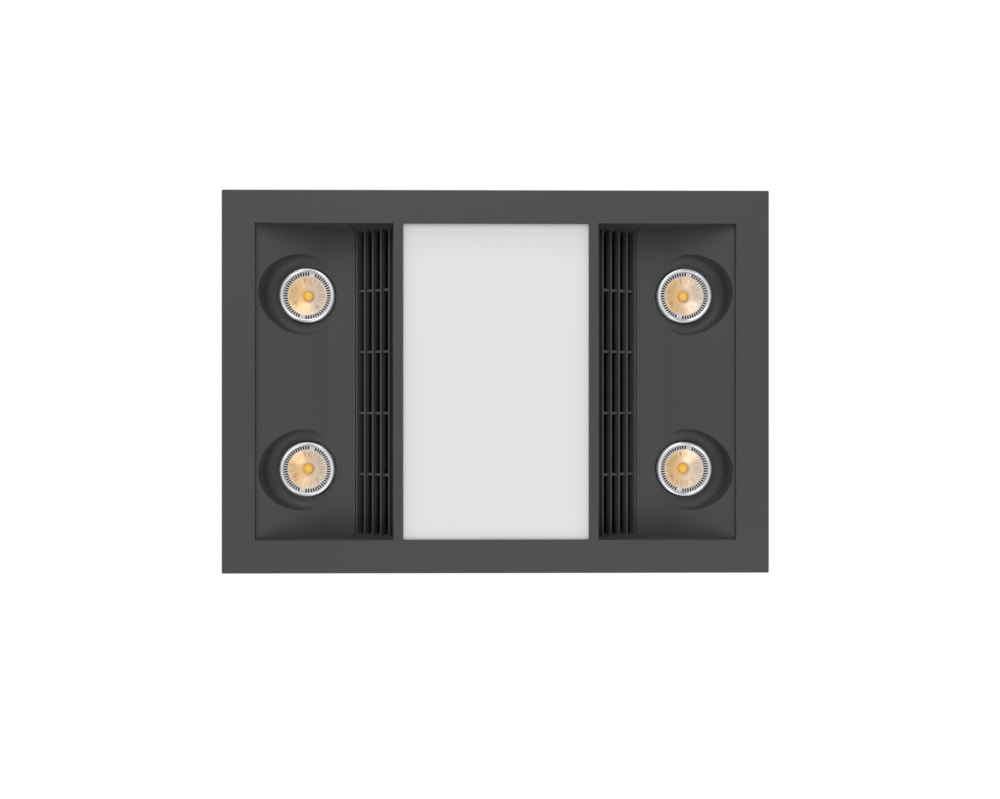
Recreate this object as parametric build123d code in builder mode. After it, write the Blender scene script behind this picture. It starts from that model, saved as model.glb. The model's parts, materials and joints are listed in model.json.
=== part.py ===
from build123d import *
from math import cos, radians, sin, tan
import os

# Bathroom ceiling heater with light and extractor fan, in millimetres.
# +Z is up into the ceiling and the room is below. Z = 0 is the ceiling's underside, where the
# housing flange bears, and the fascia hangs below it. X runs along the fascia's long side.

os.makedirs("parts", exist_ok=True)

# Fascia frame
fascia_length = 500.0
fascia_width = 350.0
fascia_depth = 10.0
fascia_wall = 2.5
fascia_corner = 1.5
fascia_edge_round = 1.0
fascia_border = 30.4
mullion_width = 8.5
mullion_wall = 2.2
mullion_web_height = 16.0
panel_width = 170.0
standoff_thickness = 3.0
standoff_length = 40.0
standoff_pitch = 120.0
rib_thickness = 1.6
rib_height = 4.0
rib_length = 14.0
rib_pitch = 48.0

# Light panel
diffuser_thickness = 2.5
diffuser_overlap = 4.6
diffuser_corner = 2.0
pan_depth = 14.0
pan_sheet = 1.0
pan_fit = 0.4
led_strip_count = 4
led_strip_width = 12.0
led_strip_margin = 12.0
led_board_thickness = 1.2
leds_per_strip = 6
led_size = 4.0
led_height = 0.9

# Lamp trays
tray_wall = 2.2
tray_set_back = 0.2
tray_edge_depth = 4.0
tray_depth = 30.0
tray_slope_run = 57.6
tray_flange = 6.5
tray_lip_height = 10.0
tray_screw_inset = 18.0
cup_radius = 38.3
cup_round = 9.0

# Air grilles
grille_width = 41.5
groove_width = 0.6
blade_count = 5
blade_pitch = 8.2
blade_thickness = 1.6
blade_nose = 0.4
blade_set_down = 1.0
blade_rise = 2.75
blade_overrun = 18.0
cross_bar_count = 4
cross_bar_pitch = 58.4
cross_bar_thickness = 2.2
cross_bar_recess = 2.3
cross_bar_height = 9.0
grille_wall = 2.0

# Heat lamps
lamp_spacing_x = 360.0
lamp_spacing_y = 165.4
lamp_face_depth = 24.5
lamp_clearance = 1.0
ring_radius = 26.0
ring_band = 3.5
ring_face_thickness = 2.0
ring_skirt = 1.1
ring_height = 6.5
ring_chamfer = 0.8
reflector_wall = 1.8
reflector_depth = 22.0
reflector_mid_depth = 9.2
reflector_mid_radius = 18.3
dish_step = 0.9
dish_radius = 17.6
dish_depth = 5.0
dish_floor_radius = 6.6
dish_flutes = 30
neck_radius = 9.5
neck_length = 14.0
capsule_radius = 4.8
capsule_height = 2.2
capsule_round = 1.6
holder_radius = 14.0
holder_socket_depth = 6.0
holder_height = 24.0
holder_chamfer = 1.0

# Fits
running_clearance = 0.05
slide_clearance = 0.4
seat_gap = 0.3
screw_hole_clearance = 0.1

# Steel housing
housing_length = 466.0
housing_width = 318.0
housing_height = 165.0
housing_sheet = 1.2
housing_corner = 3.0
flange_width = 10.0
ceiling_screw_spacing = 240.0
ceiling_screw_hole_radius = 2.25
tab_size = 14.0
bracket_sheet = 1.2
bracket_width = 60.0
bracket_fold = 14.0
bracket_tab_depth = 22.0
bracket_screw_inset = 12.0
bracket_screw_rise = 7.0

# V springs of the fascia, and the lugs on its back that carry them
lug_gap = 1.0
spring_offset = 60.0
spring_wire_radius = 0.8
spring_coil_radius = 4.8
spring_coil_length = 3.6
spring_leg_length = 60.0
spring_leg_angle = 20.0
spring_hook_length = 7.0
spring_bracket_height = 16.0
spring_bracket_width = 34.0
spring_slot_width = 4.4
spring_lug_width = 14.0

# Fan
fan_x = -14.0
fan_y = -30.0
impeller_radius = 80.0
impeller_inner_radius = 66.0
blade_height = 75.0
fan_blade_count = 30
fan_blade_thickness = 1.3
fan_blade_sweep = 9.0
fan_blade_bulge = 2.6
impeller_plate = 2.0
impeller_hub_radius = 10.0
impeller_hub_height = 14.0
impeller_top_gap = 13.0
scroll_wall = 2.0
scroll_floor_height = 58.0
scroll_start_radius = 94.0
scroll_growth = 14.0
scroll_outlet_width = 100.0
scroll_tongue_round = 8.0
scroll_ear_offset = 5.5
scroll_ear_radius = 5.0
scroll_ear_height = 12.0
inlet_radius = 58.0
inlet_flare = 9.0
inlet_wall = 1.8
inlet_flange = 8.0

# Motor
motor_radius = 38.0
motor_length = 46.0
motor_round = 4.0
motor_dome_gap = 4.0
motor_shaft_radius = 4.0
motor_boss_radius = 11.0
motor_boss_height = 3.0
boss_hole_clearance = 3.0
shaft_socket_depth = 10.0
shaft_overrun = 3.0
shaft_chamfer = 0.6
motor_screw_circle = 24.0
motor_screw_bite = 6.0
motor_screw_count = 3
grommet_radius = 6.0
grommet_height = 3.0
nut_flats = 13.0
nut_height = 5.0

# Duct spigot and backdraft flaps
spigot_radius = 49.0
spigot_wall = 2.0
spigot_outside = 31.0
spigot_inside = 25.0
spigot_flange_radius = 61.0
spigot_flange_thickness = 3.0
spigot_height = 111.0
spigot_screw_count = 4
spigot_screw_start = 45.0
flap_plane = 6.5
flap_thickness = 1.6
flap_clearance = 1.5
flap_pin_radius = 1.5
knuckle_radius = 3.0
knuckle_gap = 0.5
flap_stop_width = 3.0
flap_stop_thickness = 1.5
flap_spring_length = 10.0
flap_spring_radius = 2.6
flap_spring_wire = 0.5
flap_spring_leg = 12.0
flap_notch_radius = 7.0

# Electrical parts on the roof
terminal_length = 110.0
terminal_width = 70.0
terminal_height = 38.0
terminal_wall = 2.0
terminal_round = 3.0
terminal_x = -150.0
terminal_y = 95.0
terminal_boss_radius = 4.5
cover_thickness = 2.0
block_pole_count = 5
block_pole_pitch = 10.0
block_width = 20.0
block_height = 17.0
gland_bore_radius = 4.0
gland_body_radius = 8.0
gland_nut_radius = 11.0
gland_inside = 6.0
gland_outside = 20.0
grommet_hole_radius = 8.0
grommet_wall = 2.0
wire_hole_inset = 15.4
driver_length = 150.0
driver_width = 42.0
driver_height = 30.0
driver_x = 95.0
driver_y = -112.0
driver_ear = 12.0
driver_ear_thickness = 3.0
driver_round = 3.0
capacitor_radius = 16.0
capacitor_length = 62.0
capacitor_round = 1.5
capacitor_x = 150.0
capacitor_y = -40.0
clip_width = 14.0
clip_sheet = 1.2
clip_foot = 12.0

# Sheet-metal screws, and the smaller screws of the fascia
screw_radius = 2.0
screw_head_radius = 3.8
screw_head_height = 2.4
screw_length = 7.0
small_screw_radius = 1.4
small_screw_head_radius = 2.8
small_screw_head_height = 1.6
small_screw_bite = 1.5

# Levels, counted from the ceiling
front = -fascia_depth
plate_back = front + fascia_wall
panel_back = plate_back + diffuser_thickness
tray_edge = front + tray_edge_depth
tray_floor = front + tray_depth
blade_back = tray_floor + blade_overrun
lamp_face = front + lamp_face_depth
roof = housing_height + housing_sheet

# Places along X and Y
opening_length = fascia_length - 2 * fascia_border
opening_width = fascia_width - 2 * fascia_border
mullion_outer = panel_width / 2 + mullion_width
tray_inner = mullion_outer + grille_width
tray_outer = opening_length / 2 + tray_set_back
tray_end = opening_width / 2 + tray_set_back
tray_deep = opening_length / 2 - tray_slope_run
first_blade = tray_inner - groove_width - blade_thickness / 2
lamp_x = lamp_spacing_x / 2
lamp_y = lamp_spacing_y / 2
wall_y = housing_width / 2 - housing_sheet
coil_bore = spring_coil_radius - 2 * spring_wire_radius
peg_radius = coil_bore - seat_gap

ON_SEAT = (Align.CENTER, Align.CENTER, Align.MIN)
UNDER_SEAT = (Align.CENTER, Align.CENTER, Align.MAX)


def facing(x, y, z, way):
    """Plane at a point, whose normal is the way that a screw's head or a fitting faces."""
    return Plane(origin=(x, y, z), z_dir=way)


UP = (0, 0, 1)
RIGHT = (1, 0, 0)
LEFT = (-1, 0, 0)
BACKWARD = (0, 1, 0)

# The places of the screws are gathered here, because holes and screws share them.
tray_screw_x = (tray_inner + tray_screw_inset, tray_outer - tray_screw_inset)
tray_screw_y = tray_end + tray_wall + tray_flange / 2
grille_screw_x = (mullion_outer + tray_inner) / 2
pan_screw_x = 30.0
pan_ear = 8.0
pan_end = opening_width / 2 + diffuser_overlap
pan_screw_y = pan_end + pan_ear / 2


# Fascia

with BuildPart() as fascia_frame:
    with BuildSketch(Plane.XY.offset(front)):
        RectangleRounded(fascia_length, fascia_width, fascia_corner)
    extrude(amount=fascia_depth)
    chamfer(fascia_frame.edges().group_by(Axis.Z)[0], fascia_edge_round)
    with BuildSketch(Plane.XY.offset(plate_back)):
        Rectangle(fascia_length - 2 * fascia_wall, fascia_width - 2 * fascia_wall)
    extrude(amount=fascia_depth, mode=Mode.SUBTRACT)
    # short ribs across the border, from its outer wall inwards
    rib_x = fascia_length / 2 - fascia_wall - rib_length / 2
    rib_y = fascia_width / 2 - fascia_wall - rib_length / 2
    long_ribs = int((fascia_length / 2 - fascia_border) / rib_pitch)
    short_ribs = int((fascia_width / 2 - fascia_border) / rib_pitch)
    with BuildSketch(Plane.XY.offset(plate_back)):
        with GridLocations(rib_pitch, 2 * rib_y, 2 * long_ribs + 1, 2):
            Rectangle(rib_thickness, rib_length)
        with GridLocations(2 * rib_x, rib_pitch, 2, 2 * short_ribs + 1):
            Rectangle(rib_length, rib_thickness)
    extrude(amount=rib_height)
    # webs that stiffen the mullions and hide the light pan
    with BuildSketch(Plane.XY.offset(plate_back)):
        for side in (-1, 1):
            with Locations((side * (mullion_outer - mullion_wall / 2), 0)):
                Rectangle(mullion_wall, opening_width)
    extrude(amount=mullion_web_height)
    # stand-offs that meet the housing flange
    standoff_y = housing_width / 2 + flange_width / 2
    with BuildSketch(Plane.XY.offset(plate_back)):
        with GridLocations(standoff_pitch, 2 * standoff_y, 3, 2):
            Rectangle(standoff_length, standoff_thickness)
    extrude(amount=-housing_sheet - seat_gap - plate_back)
    # lugs and pegs that carry the coils of the V springs
    lug_y = pan_end + lug_gap
    peg_y = lug_y + mullion_wall
    with BuildSketch(Plane.XY.offset(plate_back)):
        with GridLocations(2 * spring_offset, 2 * (lug_y + mullion_wall / 2), 2, 2):
            Rectangle(spring_lug_width, mullion_wall)
    extrude(amount=spring_coil_radius - plate_back)
    for side in (-1, 1):
        for along in (-spring_offset, spring_offset):
            with Locations(facing(along, side * peg_y, 0, (0, side, 0))):
                Cylinder(peg_radius, spring_coil_length + spring_wire_radius, align=ON_SEAT)
    # bosses for the screws of the light pan
    with BuildSketch(Plane.XY.offset(plate_back)):
        with GridLocations(2 * pan_screw_x, 2 * pan_screw_y, 2, 2):
            Circle(pan_ear / 2 - seat_gap)
    extrude(amount=panel_back - plate_back)
    with GridLocations(2 * pan_screw_x, 2 * pan_screw_y, 2, 2):
        with Locations((0, 0, panel_back)):
            Cylinder(small_screw_radius, small_screw_bite, align=UNDER_SEAT, mode=Mode.SUBTRACT)
    # openings for the light panel and for the two side channels
    with BuildSketch(Plane.XY.offset(front)):
        Rectangle(panel_width, opening_width)
        for side in (-1, 1):
            with Locations((side * (mullion_outer + opening_length / 2) / 2, 0)):
                Rectangle(opening_length / 2 - mullion_outer, opening_width)
    extrude(amount=fascia_wall, mode=Mode.SUBTRACT)
    # blind holes for the screws of the trays and grilles
    for side in (-1, 1):
        for end in (-1, 1):
            for along in (*tray_screw_x, grille_screw_x):
                with Locations((side * along, end * tray_screw_y, plate_back)):
                    Cylinder(small_screw_radius, small_screw_bite, align=UNDER_SEAT, mode=Mode.SUBTRACT)

fascia_frame.part.label = "fascia_frame"
export_step(fascia_frame.part, "parts/fascia_frame.step")


def tray_section(side, sink, reach):
    """The tray's sloping floor in XZ, as a closed outline that is open towards the room."""
    with BuildSketch(Plane.XZ) as outline:
        with BuildLine():
            Polyline(
                (side * tray_inner, plate_back - reach),
                (side * (tray_outer + sink), plate_back - reach),
                (side * (tray_outer + sink), tray_edge + sink),
                (side * tray_deep, tray_floor + sink),
                (side * tray_inner, tray_floor + sink),
                close=True,
            )
        make_face()
    return outline.sketch


def cup(radius, floor, depth, roundness):
    """A round cup about a lamp's axis, its closed end rounded."""
    with BuildSketch(Plane.XZ) as half:
        with BuildLine():
            Line((0, floor - depth), (radius, floor - depth))
            Line((radius, floor - depth), (radius, floor - roundness))
            CenterArc((radius - roundness, floor - roundness), roundness, 0, 90)
            Line((radius - roundness, floor), (0, floor))
            Line((0, floor), (0, floor - depth))
        make_face()
    with BuildPart() as turned:
        revolve(half.sketch, axis=Axis.Z)
    return turned.part


def lamp_tray(side):
    """Sloping tray with two lamp cups, open towards the grille."""
    lamp_places = Locations((side * lamp_x, -lamp_y, 0), (side * lamp_x, lamp_y, 0))
    with BuildPart() as tray:
        extrude(tray_section(side, tray_wall, 0), amount=tray_end + tray_wall, both=True)
        with lamp_places:
            add(cup(cup_radius + tray_wall, tray_floor + tray_wall, tray_depth, cup_round + tray_wall))
        split(bisect_by=Plane.XY.offset(plate_back), keep=Keep.TOP)
        with BuildSketch(Plane.XY.offset(plate_back)):
            reach = tray_outer + tray_wall + tray_flange
            with Locations((side * (tray_inner + reach) / 2, 0)):
                Rectangle(reach - tray_inner, 2 * (tray_end + tray_wall + tray_flange))
        extrude(amount=tray_wall)
        extrude(tray_section(side, 0, 1), amount=tray_end, both=True, mode=Mode.SUBTRACT)
        with BuildSketch(Plane.XY.offset(tray_floor)):
            with Locations((side * (tray_inner + tray_wall / 2), 0)):
                Rectangle(tray_wall, 2 * (tray_end + tray_wall))
        extrude(amount=tray_lip_height)
        with lamp_places:
            add(cup(cup_radius, tray_floor, 2 * tray_depth, cup_round), mode=Mode.SUBTRACT)
            Cylinder(ring_radius + lamp_clearance, 4 * tray_depth, mode=Mode.SUBTRACT)
        for end in (-1, 1):
            for along in tray_screw_x:
                with Locations((side * along, end * tray_screw_y, plate_back)):
                    Cylinder(small_screw_radius + screw_hole_clearance, tray_wall, align=ON_SEAT,
                             mode=Mode.SUBTRACT)
    return tray


lamp_tray_left = lamp_tray(-1)
lamp_tray_left.part.label = "lamp_tray_left"
export_step(lamp_tray_left.part, "parts/lamp_tray_left.step")

lamp_tray_right = lamp_tray(1)
lamp_tray_right.part.label = "lamp_tray_right"
export_step(lamp_tray_right.part, "parts/lamp_tray_right.step")


def air_grille(side):
    """Five deep blades between two end walls, tied by four set-back cross bars."""
    last_blade = first_blade - (blade_count - 1) * blade_pitch
    front_height = [tray_floor - blade_set_down - k * blade_rise for k in range(blade_count)]
    with BuildPart() as grille:
        for k in range(blade_count):
            centre = side * (first_blade - k * blade_pitch)
            half = blade_thickness / 2
            tip = front_height[k]
            with BuildSketch(Plane.XZ) as blade:
                with BuildLine():
                    Polyline(
                        (centre - half, blade_back),
                        (centre - half, tip + blade_nose),
                        (centre - half + blade_nose, tip),
                        (centre + half - blade_nose, tip),
                        (centre + half, tip + blade_nose),
                        (centre + half, blade_back),
                        close=True,
                    )
                make_face()
            extrude(blade.sketch, amount=tray_end, both=True)
        # cross bars follow the slope of the blade tips
        for k in range(cross_bar_count):
            at = (k - (cross_bar_count - 1) / 2) * cross_bar_pitch
            with BuildSketch(Plane.XZ.offset(at)) as bar:
                with BuildLine():
                    Polyline(
                        (side * first_blade, front_height[0] + cross_bar_recess),
                        (side * last_blade, front_height[-1] + cross_bar_recess),
                        (side * last_blade, front_height[-1] + cross_bar_recess + cross_bar_height),
                        (side * first_blade, front_height[0] + cross_bar_recess + cross_bar_height),
                        close=True,
                    )
                make_face()
            extrude(bar.sketch, amount=cross_bar_thickness / 2, both=True)
        # end walls, with a foot that is screwed to the frame's back
        inner = mullion_outer + slide_clearance
        outer = first_blade + blade_thickness / 2
        for end in (-1, 1):
            with BuildSketch(Plane.XY.offset(plate_back)) as wall:
                with Locations((side * (inner + outer) / 2, end * (tray_end + grille_wall / 2))):
                    Rectangle(outer - inner, grille_wall)
            extrude(wall.sketch, amount=blade_back - plate_back)
            with BuildSketch(Plane.XY.offset(plate_back)) as foot:
                reach = tray_wall + tray_flange
                with Locations((side * (inner + outer) / 2, end * (tray_end + reach / 2))):
                    Rectangle(outer - inner, reach)
            extrude(foot.sketch, amount=grille_wall)
            with Locations((side * grille_screw_x, end * tray_screw_y, plate_back)):
                Cylinder(small_screw_radius + screw_hole_clearance, grille_wall, align=ON_SEAT,
                         mode=Mode.SUBTRACT)
    return grille


air_grille_left = air_grille(-1)
air_grille_left.part.label = "air_grille_left"
export_step(air_grille_left.part, "parts/air_grille_left.step")

air_grille_right = air_grille(1)
air_grille_right.part.label = "air_grille_right"
export_step(air_grille_right.part, "parts/air_grille_right.step")


# Light panel

pan_half_length = panel_width / 2 + mullion_width - mullion_wall - pan_fit
with BuildPart() as light_diffuser:
    with BuildSketch(Plane.XY.offset(plate_back)):
        RectangleRounded(2 * pan_half_length, 2 * pan_end, diffuser_corner)
    extrude(amount=diffuser_thickness)

light_diffuser.part.label = "light_diffuser"
export_step(light_diffuser.part, "parts/light_diffuser.step")

with BuildPart() as light_pan:
    with BuildSketch(Plane.XY.offset(panel_back)):
        Rectangle(2 * pan_half_length, 2 * pan_end)
    extrude(amount=pan_depth)
    with BuildSketch(Plane.XY.offset(panel_back)):
        Rectangle(2 * (pan_half_length - pan_sheet), 2 * (pan_end - pan_sheet))
    extrude(amount=pan_depth - pan_sheet, mode=Mode.SUBTRACT)
    for end in (-1, 1):
        for along in (-pan_screw_x, pan_screw_x):
            with BuildSketch(Plane.XY.offset(panel_back)):
                with Locations((along, end * (pan_end + pan_ear / 2))):
                    Rectangle(pan_ear, pan_ear)
                    Circle(small_screw_radius + screw_hole_clearance, mode=Mode.SUBTRACT)
            extrude(amount=pan_sheet)

light_pan.part.label = "light_pan"
export_step(light_pan.part, "parts/light_pan.step")

pan_ceiling = panel_back + pan_depth - pan_sheet
strip_pitch = 2 * pan_half_length / led_strip_count
strip_length = 2 * (pan_end - led_strip_margin)
with BuildPart() as led_strips:
    with BuildSketch(Plane.XY.offset(pan_ceiling)):
        with GridLocations(strip_pitch, 1, led_strip_count, 1):
            Rectangle(led_strip_width, strip_length)
    extrude(amount=-led_board_thickness)
    with BuildSketch(Plane.XY.offset(pan_ceiling - led_board_thickness)):
        with GridLocations(strip_pitch, strip_length / leds_per_strip, led_strip_count, leds_per_strip):
            Rectangle(led_size, led_size)
    extrude(amount=-led_height)

led_strips.part.label = "led_strips"
export_step(led_strips.part, "parts/led_strips.step")


# Screws of the fascia


def small_screw(x, y, seat, grip):
    """Screw driven down from behind: its head on the seat, its shank through the grip and the bite."""
    with Locations((x, y, seat)):
        Cylinder(small_screw_head_radius, small_screw_head_height, align=ON_SEAT)
        Cylinder(small_screw_radius, grip + small_screw_bite, align=UNDER_SEAT)


with BuildPart() as fascia_screws:
    for side in (-1, 1):
        for end in (-1, 1):
            for along in tray_screw_x:
                small_screw(side * along, end * tray_screw_y, plate_back + tray_wall, tray_wall)
            small_screw(side * grille_screw_x, end * tray_screw_y, plate_back + grille_wall, grille_wall)
            small_screw(side * pan_screw_x, end * pan_screw_y, panel_back + pan_sheet, pan_sheet)

fascia_screws.part.label = "fascia_screws"
export_step(fascia_screws.part, "parts/fascia_screws.step")


# V springs: a coil on the fascia's peg and two legs that spread above the slotted bracket

leg_angle = radians(spring_leg_angle)
leg_start = (spring_coil_radius - spring_wire_radius) * cos(leg_angle)
leg_lift = -(spring_coil_radius - spring_wire_radius) * sin(leg_angle)
with BuildPart() as fascia_springs:
    for side in (-1, 1):
        for along in (-spring_offset, spring_offset):
            seat = facing(along, side * (peg_y + seat_gap), 0, (0, side, 0))
            with Locations(seat):
                Cylinder(spring_coil_radius, spring_coil_length, align=ON_SEAT)
                Cylinder(coil_bore, spring_coil_length, align=ON_SEAT, mode=Mode.SUBTRACT)
            for lean in (-1, 1):
                leg_y = side * (peg_y + seat_gap + spring_coil_length / 2 + lean * spring_wire_radius)
                start = along + lean * leg_start
                with Locations(facing(start, leg_y, leg_lift, (lean * sin(leg_angle), 0, cos(leg_angle)))):
                    Cylinder(spring_wire_radius, spring_leg_length, align=ON_SEAT)
                tip_x = start + lean * spring_leg_length * sin(leg_angle)
                tip_z = leg_lift + (spring_leg_length - spring_wire_radius) * cos(leg_angle)
                with Locations(facing(tip_x - lean * spring_wire_radius, leg_y, tip_z, (lean, 0, 0))):
                    Cylinder(spring_wire_radius, spring_hook_length, align=ON_SEAT)

fascia_springs.part.label = "fascia_springs"
export_step(fascia_springs.part, "parts/fascia_springs.step")

slot_y = peg_y + seat_gap + spring_coil_length / 2
slot_half = (
    (spring_coil_radius - spring_wire_radius) / cos(leg_angle)
    + (spring_bracket_height + bracket_sheet) * tan(leg_angle)
    + 2 * spring_wire_radius
)
with BuildPart() as spring_brackets:
    for side in (-1, 1):
        for along in (-spring_offset, spring_offset):
            with BuildSketch(Plane.XY.offset(spring_bracket_height)):
                with Locations((along, side * (lug_y + wall_y) / 2)):
                    Rectangle(spring_bracket_width, wall_y - lug_y)
                with Locations((along, side * slot_y)):
                    Rectangle(2 * slot_half, spring_slot_width, mode=Mode.SUBTRACT)
            extrude(amount=bracket_sheet)
            with BuildSketch(Plane.XY.offset(spring_bracket_height)):
                with Locations((along, side * (wall_y - bracket_sheet / 2))):
                    Rectangle(spring_bracket_width, bracket_sheet)
            extrude(amount=tab_size)

spring_brackets.part.label = "spring_brackets"
export_step(spring_brackets.part, "parts/spring_brackets.step")


# Heat lamps


def lamp_ring(x, y):
    """Front bezel of a lamp: a chamfered face with a skirt round the reflector's rim."""
    inner = ring_radius - ring_band
    with BuildSketch(Plane.XZ) as section:
        with BuildLine():
            Polyline(
                (inner, lamp_face + ring_chamfer),
                (inner + ring_chamfer, lamp_face),
                (ring_radius - ring_chamfer, lamp_face),
                (ring_radius, lamp_face + ring_chamfer),
                (ring_radius, lamp_face + ring_height),
                (ring_radius - ring_skirt, lamp_face + ring_height),
                (ring_radius - ring_skirt, lamp_face + ring_face_thickness),
                (inner, lamp_face + ring_face_thickness),
                close=True,
            )
        make_face()
    with BuildPart() as ring:
        revolve(section.sketch, axis=Axis.Z)
    return ring.part.moved(Location((x, y, 0)))


reflector_rim = lamp_face + ring_face_thickness
reflector_floor = reflector_rim + reflector_depth
neck_top = reflector_floor + neck_length
dish_floor = reflector_rim + dish_depth


def lamp_reflector(x, y):
    """Lamp body with a shallow fluted dish in its face, and the neck that plugs into the holder."""
    rim_outer = ring_radius - ring_skirt - slide_clearance / 2
    rim_inner = ring_radius - ring_band
    middle = reflector_rim + reflector_mid_depth
    with BuildSketch(Plane.XZ) as outside:
        with BuildLine():
            Line((0, reflector_rim), (rim_outer, reflector_rim))
            Line((rim_outer, reflector_rim), (rim_outer, reflector_rim + reflector_wall))
            ThreePointArc(
                (rim_outer, reflector_rim + reflector_wall),
                (reflector_mid_radius + reflector_wall, middle + reflector_wall),
                (neck_radius, reflector_floor),
            )
            Line((neck_radius, reflector_floor), (neck_radius, neck_top))
            Line((neck_radius, neck_top), (0, neck_top))
            Line((0, neck_top), (0, reflector_rim))
        make_face()
    with BuildPart() as reflector:
        revolve(outside.sketch, axis=Axis.Z)
        # a flat land behind the bezel, then flutes that run down to the dish's floor
        with Locations((0, 0, reflector_rim)):
            Cylinder(rim_inner, dish_step, align=ON_SEAT, mode=Mode.SUBTRACT)
        with BuildSketch(Plane.XY.offset(reflector_rim + dish_step)) as wide:
            RegularPolygon(dish_radius, dish_flutes)
        with BuildSketch(Plane.XY.offset(dish_floor)) as narrow:
            RegularPolygon(dish_floor_radius, dish_flutes)
        loft([wide.sketch.face(), narrow.sketch.face()], ruled=True, mode=Mode.SUBTRACT)
    return reflector.part.moved(Location((x, y, 0)))


def lamp_capsule(x, y):
    """Low yellow dome in the middle of the dish."""
    with BuildPart() as capsule:
        with Locations((0, 0, dish_floor)):
            Cylinder(capsule_radius, capsule_height, align=UNDER_SEAT)
        fillet(capsule.edges().group_by(Axis.Z)[0], capsule_round)
    return capsule.part.moved(Location((x, y, 0)))


holder_start = neck_top - holder_socket_depth
holder_top = holder_start + holder_height


def lamp_holder(x, y):
    """Ceramic socket that the lamp's neck plugs into."""
    with BuildPart() as holder:
        with Locations((0, 0, holder_start)):
            Cylinder(holder_radius, holder_height, align=ON_SEAT)
        chamfer(holder.edges().group_by(Axis.Z)[0], holder_chamfer)
        with Locations((0, 0, holder_start)):
            Cylinder(neck_radius + seat_gap, holder_socket_depth, align=ON_SEAT, mode=Mode.SUBTRACT)
    return holder.part.moved(Location((x, y, 0)))


lamp_places = ((-lamp_x, -lamp_y), (-lamp_x, lamp_y), (lamp_x, -lamp_y), (lamp_x, lamp_y))
for number, (x, y) in enumerate(lamp_places, start=1):
    for piece, make in (
        ("lamp_ring", lamp_ring),
        ("lamp_reflector", lamp_reflector),
        ("lamp_capsule", lamp_capsule),
        ("lamp_holder", lamp_holder),
    ):
        made = make(x, y)
        made.label = f"{piece}_{number}"
        export_step(made, f"parts/{piece}_{number}.step")


# Steel channels that carry the lamp holders across the housing

bracket_screw_offset = bracket_width / 2 - bracket_screw_inset
bracket_screw_drop = bracket_tab_depth - bracket_screw_rise


def lamp_bracket(side):
    """Channel with folded sides and a tab at each end, screwed to the housing's long walls."""
    with BuildPart() as bracket:
        with BuildSketch(Plane.XY.offset(holder_top)):
            with Locations((side * lamp_x, 0)):
                Rectangle(bracket_width, 2 * wall_y)
                with GridLocations(1, lamp_spacing_y / 3, 1, 2):
                    SlotOverall(bracket_width / 2, bracket_width / 5, mode=Mode.SUBTRACT)
        extrude(amount=bracket_sheet)
        with BuildSketch(Plane.XY.offset(holder_top + bracket_sheet)):
            for edge in (-1, 1):
                with Locations((side * lamp_x + edge * (bracket_width - bracket_sheet) / 2, 0)):
                    Rectangle(bracket_sheet, 2 * wall_y)
        extrude(amount=bracket_fold)
        with BuildSketch(Plane.XY.offset(holder_top)):
            for end in (-1, 1):
                with Locations((side * lamp_x, end * (wall_y - bracket_sheet / 2))):
                    Rectangle(bracket_width, bracket_sheet)
        extrude(amount=-bracket_tab_depth)
        for end in (-1, 1):
            for edge in (-1, 1):
                at = (side * lamp_x + edge * bracket_screw_offset, end * wall_y,
                      holder_top - bracket_screw_drop)
                with Locations(facing(*at, BACKWARD)):
                    Cylinder(screw_radius + screw_hole_clearance, 4 * bracket_sheet, mode=Mode.SUBTRACT)
    return bracket


lamp_bracket_left = lamp_bracket(-1)
lamp_bracket_left.part.label = "lamp_bracket_left"
export_step(lamp_bracket_left.part, "parts/lamp_bracket_left.step")

lamp_bracket_right = lamp_bracket(1)
lamp_bracket_right.part.label = "lamp_bracket_right"
export_step(lamp_bracket_right.part, "parts/lamp_bracket_right.step")


# Places on the housing that its holes and its screws share

outlet_right = fan_x + scroll_growth / 2 + scroll_start_radius + 2 * scroll_growth
outlet_left = outlet_right - scroll_outlet_width
spigot_x = (outlet_left + outlet_right) / 2
spigot_seat = housing_width / 2
spigot_screw_circle = (spigot_radius + spigot_flange_radius) / 2
spigot_screw_angles = [
    spigot_screw_start + k * 360 / spigot_screw_count for k in range(spigot_screw_count)
]

roof_tab_x = housing_length / 2 - housing_sheet - tab_size / 2
roof_tab_y = housing_width / 2 - housing_sheet - tab_size / 2
roof_screws = [(a * roof_tab_x, b * roof_tab_y) for a in (-1, 1) for b in (-1, 1)]

# the volute's three quarter arcs: centre, radius, the angle where each starts, and its ear's
half_growth = scroll_growth / 2
volute_arcs = (
    ((fan_x - half_growth, fan_y - half_growth), scroll_start_radius, 90, 135),
    ((fan_x + half_growth, fan_y - half_growth), scroll_start_radius + scroll_growth, 180, 225),
    ((fan_x + half_growth, fan_y + half_growth), scroll_start_radius + 2 * scroll_growth, 270, 290),
)
scroll_screws = [
    (centre[0] + (radius + scroll_ear_offset) * cos(radians(ear)),
     centre[1] + (radius + scroll_ear_offset) * sin(radians(ear)))
    for centre, radius, start, ear in volute_arcs
]

motor_screw_places = [
    (fan_x + motor_screw_circle * cos(radians(k * 360 / motor_screw_count)),
     fan_y + motor_screw_circle * sin(radians(k * 360 / motor_screw_count)))
    for k in range(motor_screw_count)
]
wire_hole = (terminal_x + terminal_length / 2 - wire_hole_inset, terminal_y)
driver_screws = [
    (driver_x + k * (driver_length / 2 + driver_ear / 2), driver_y) for k in (-1, 1)
]
clip_screws = [
    (capacitor_x, capacitor_y + k * (capacitor_radius + clip_sheet + clip_foot / 2)) for k in (-1, 1)
]
terminal_base_screws = [
    (terminal_x + k * terminal_length / 3, terminal_y - terminal_width / 4) for k in (-1, 1)
]
cover_screws = [
    (terminal_x + k * (terminal_length / 2 - terminal_wall - terminal_boss_radius),
     terminal_y + k * (terminal_width / 2 - terminal_wall - terminal_boss_radius))
    for k in (-1, 1)
]
screw_hole = screw_radius + screw_hole_clearance


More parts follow.
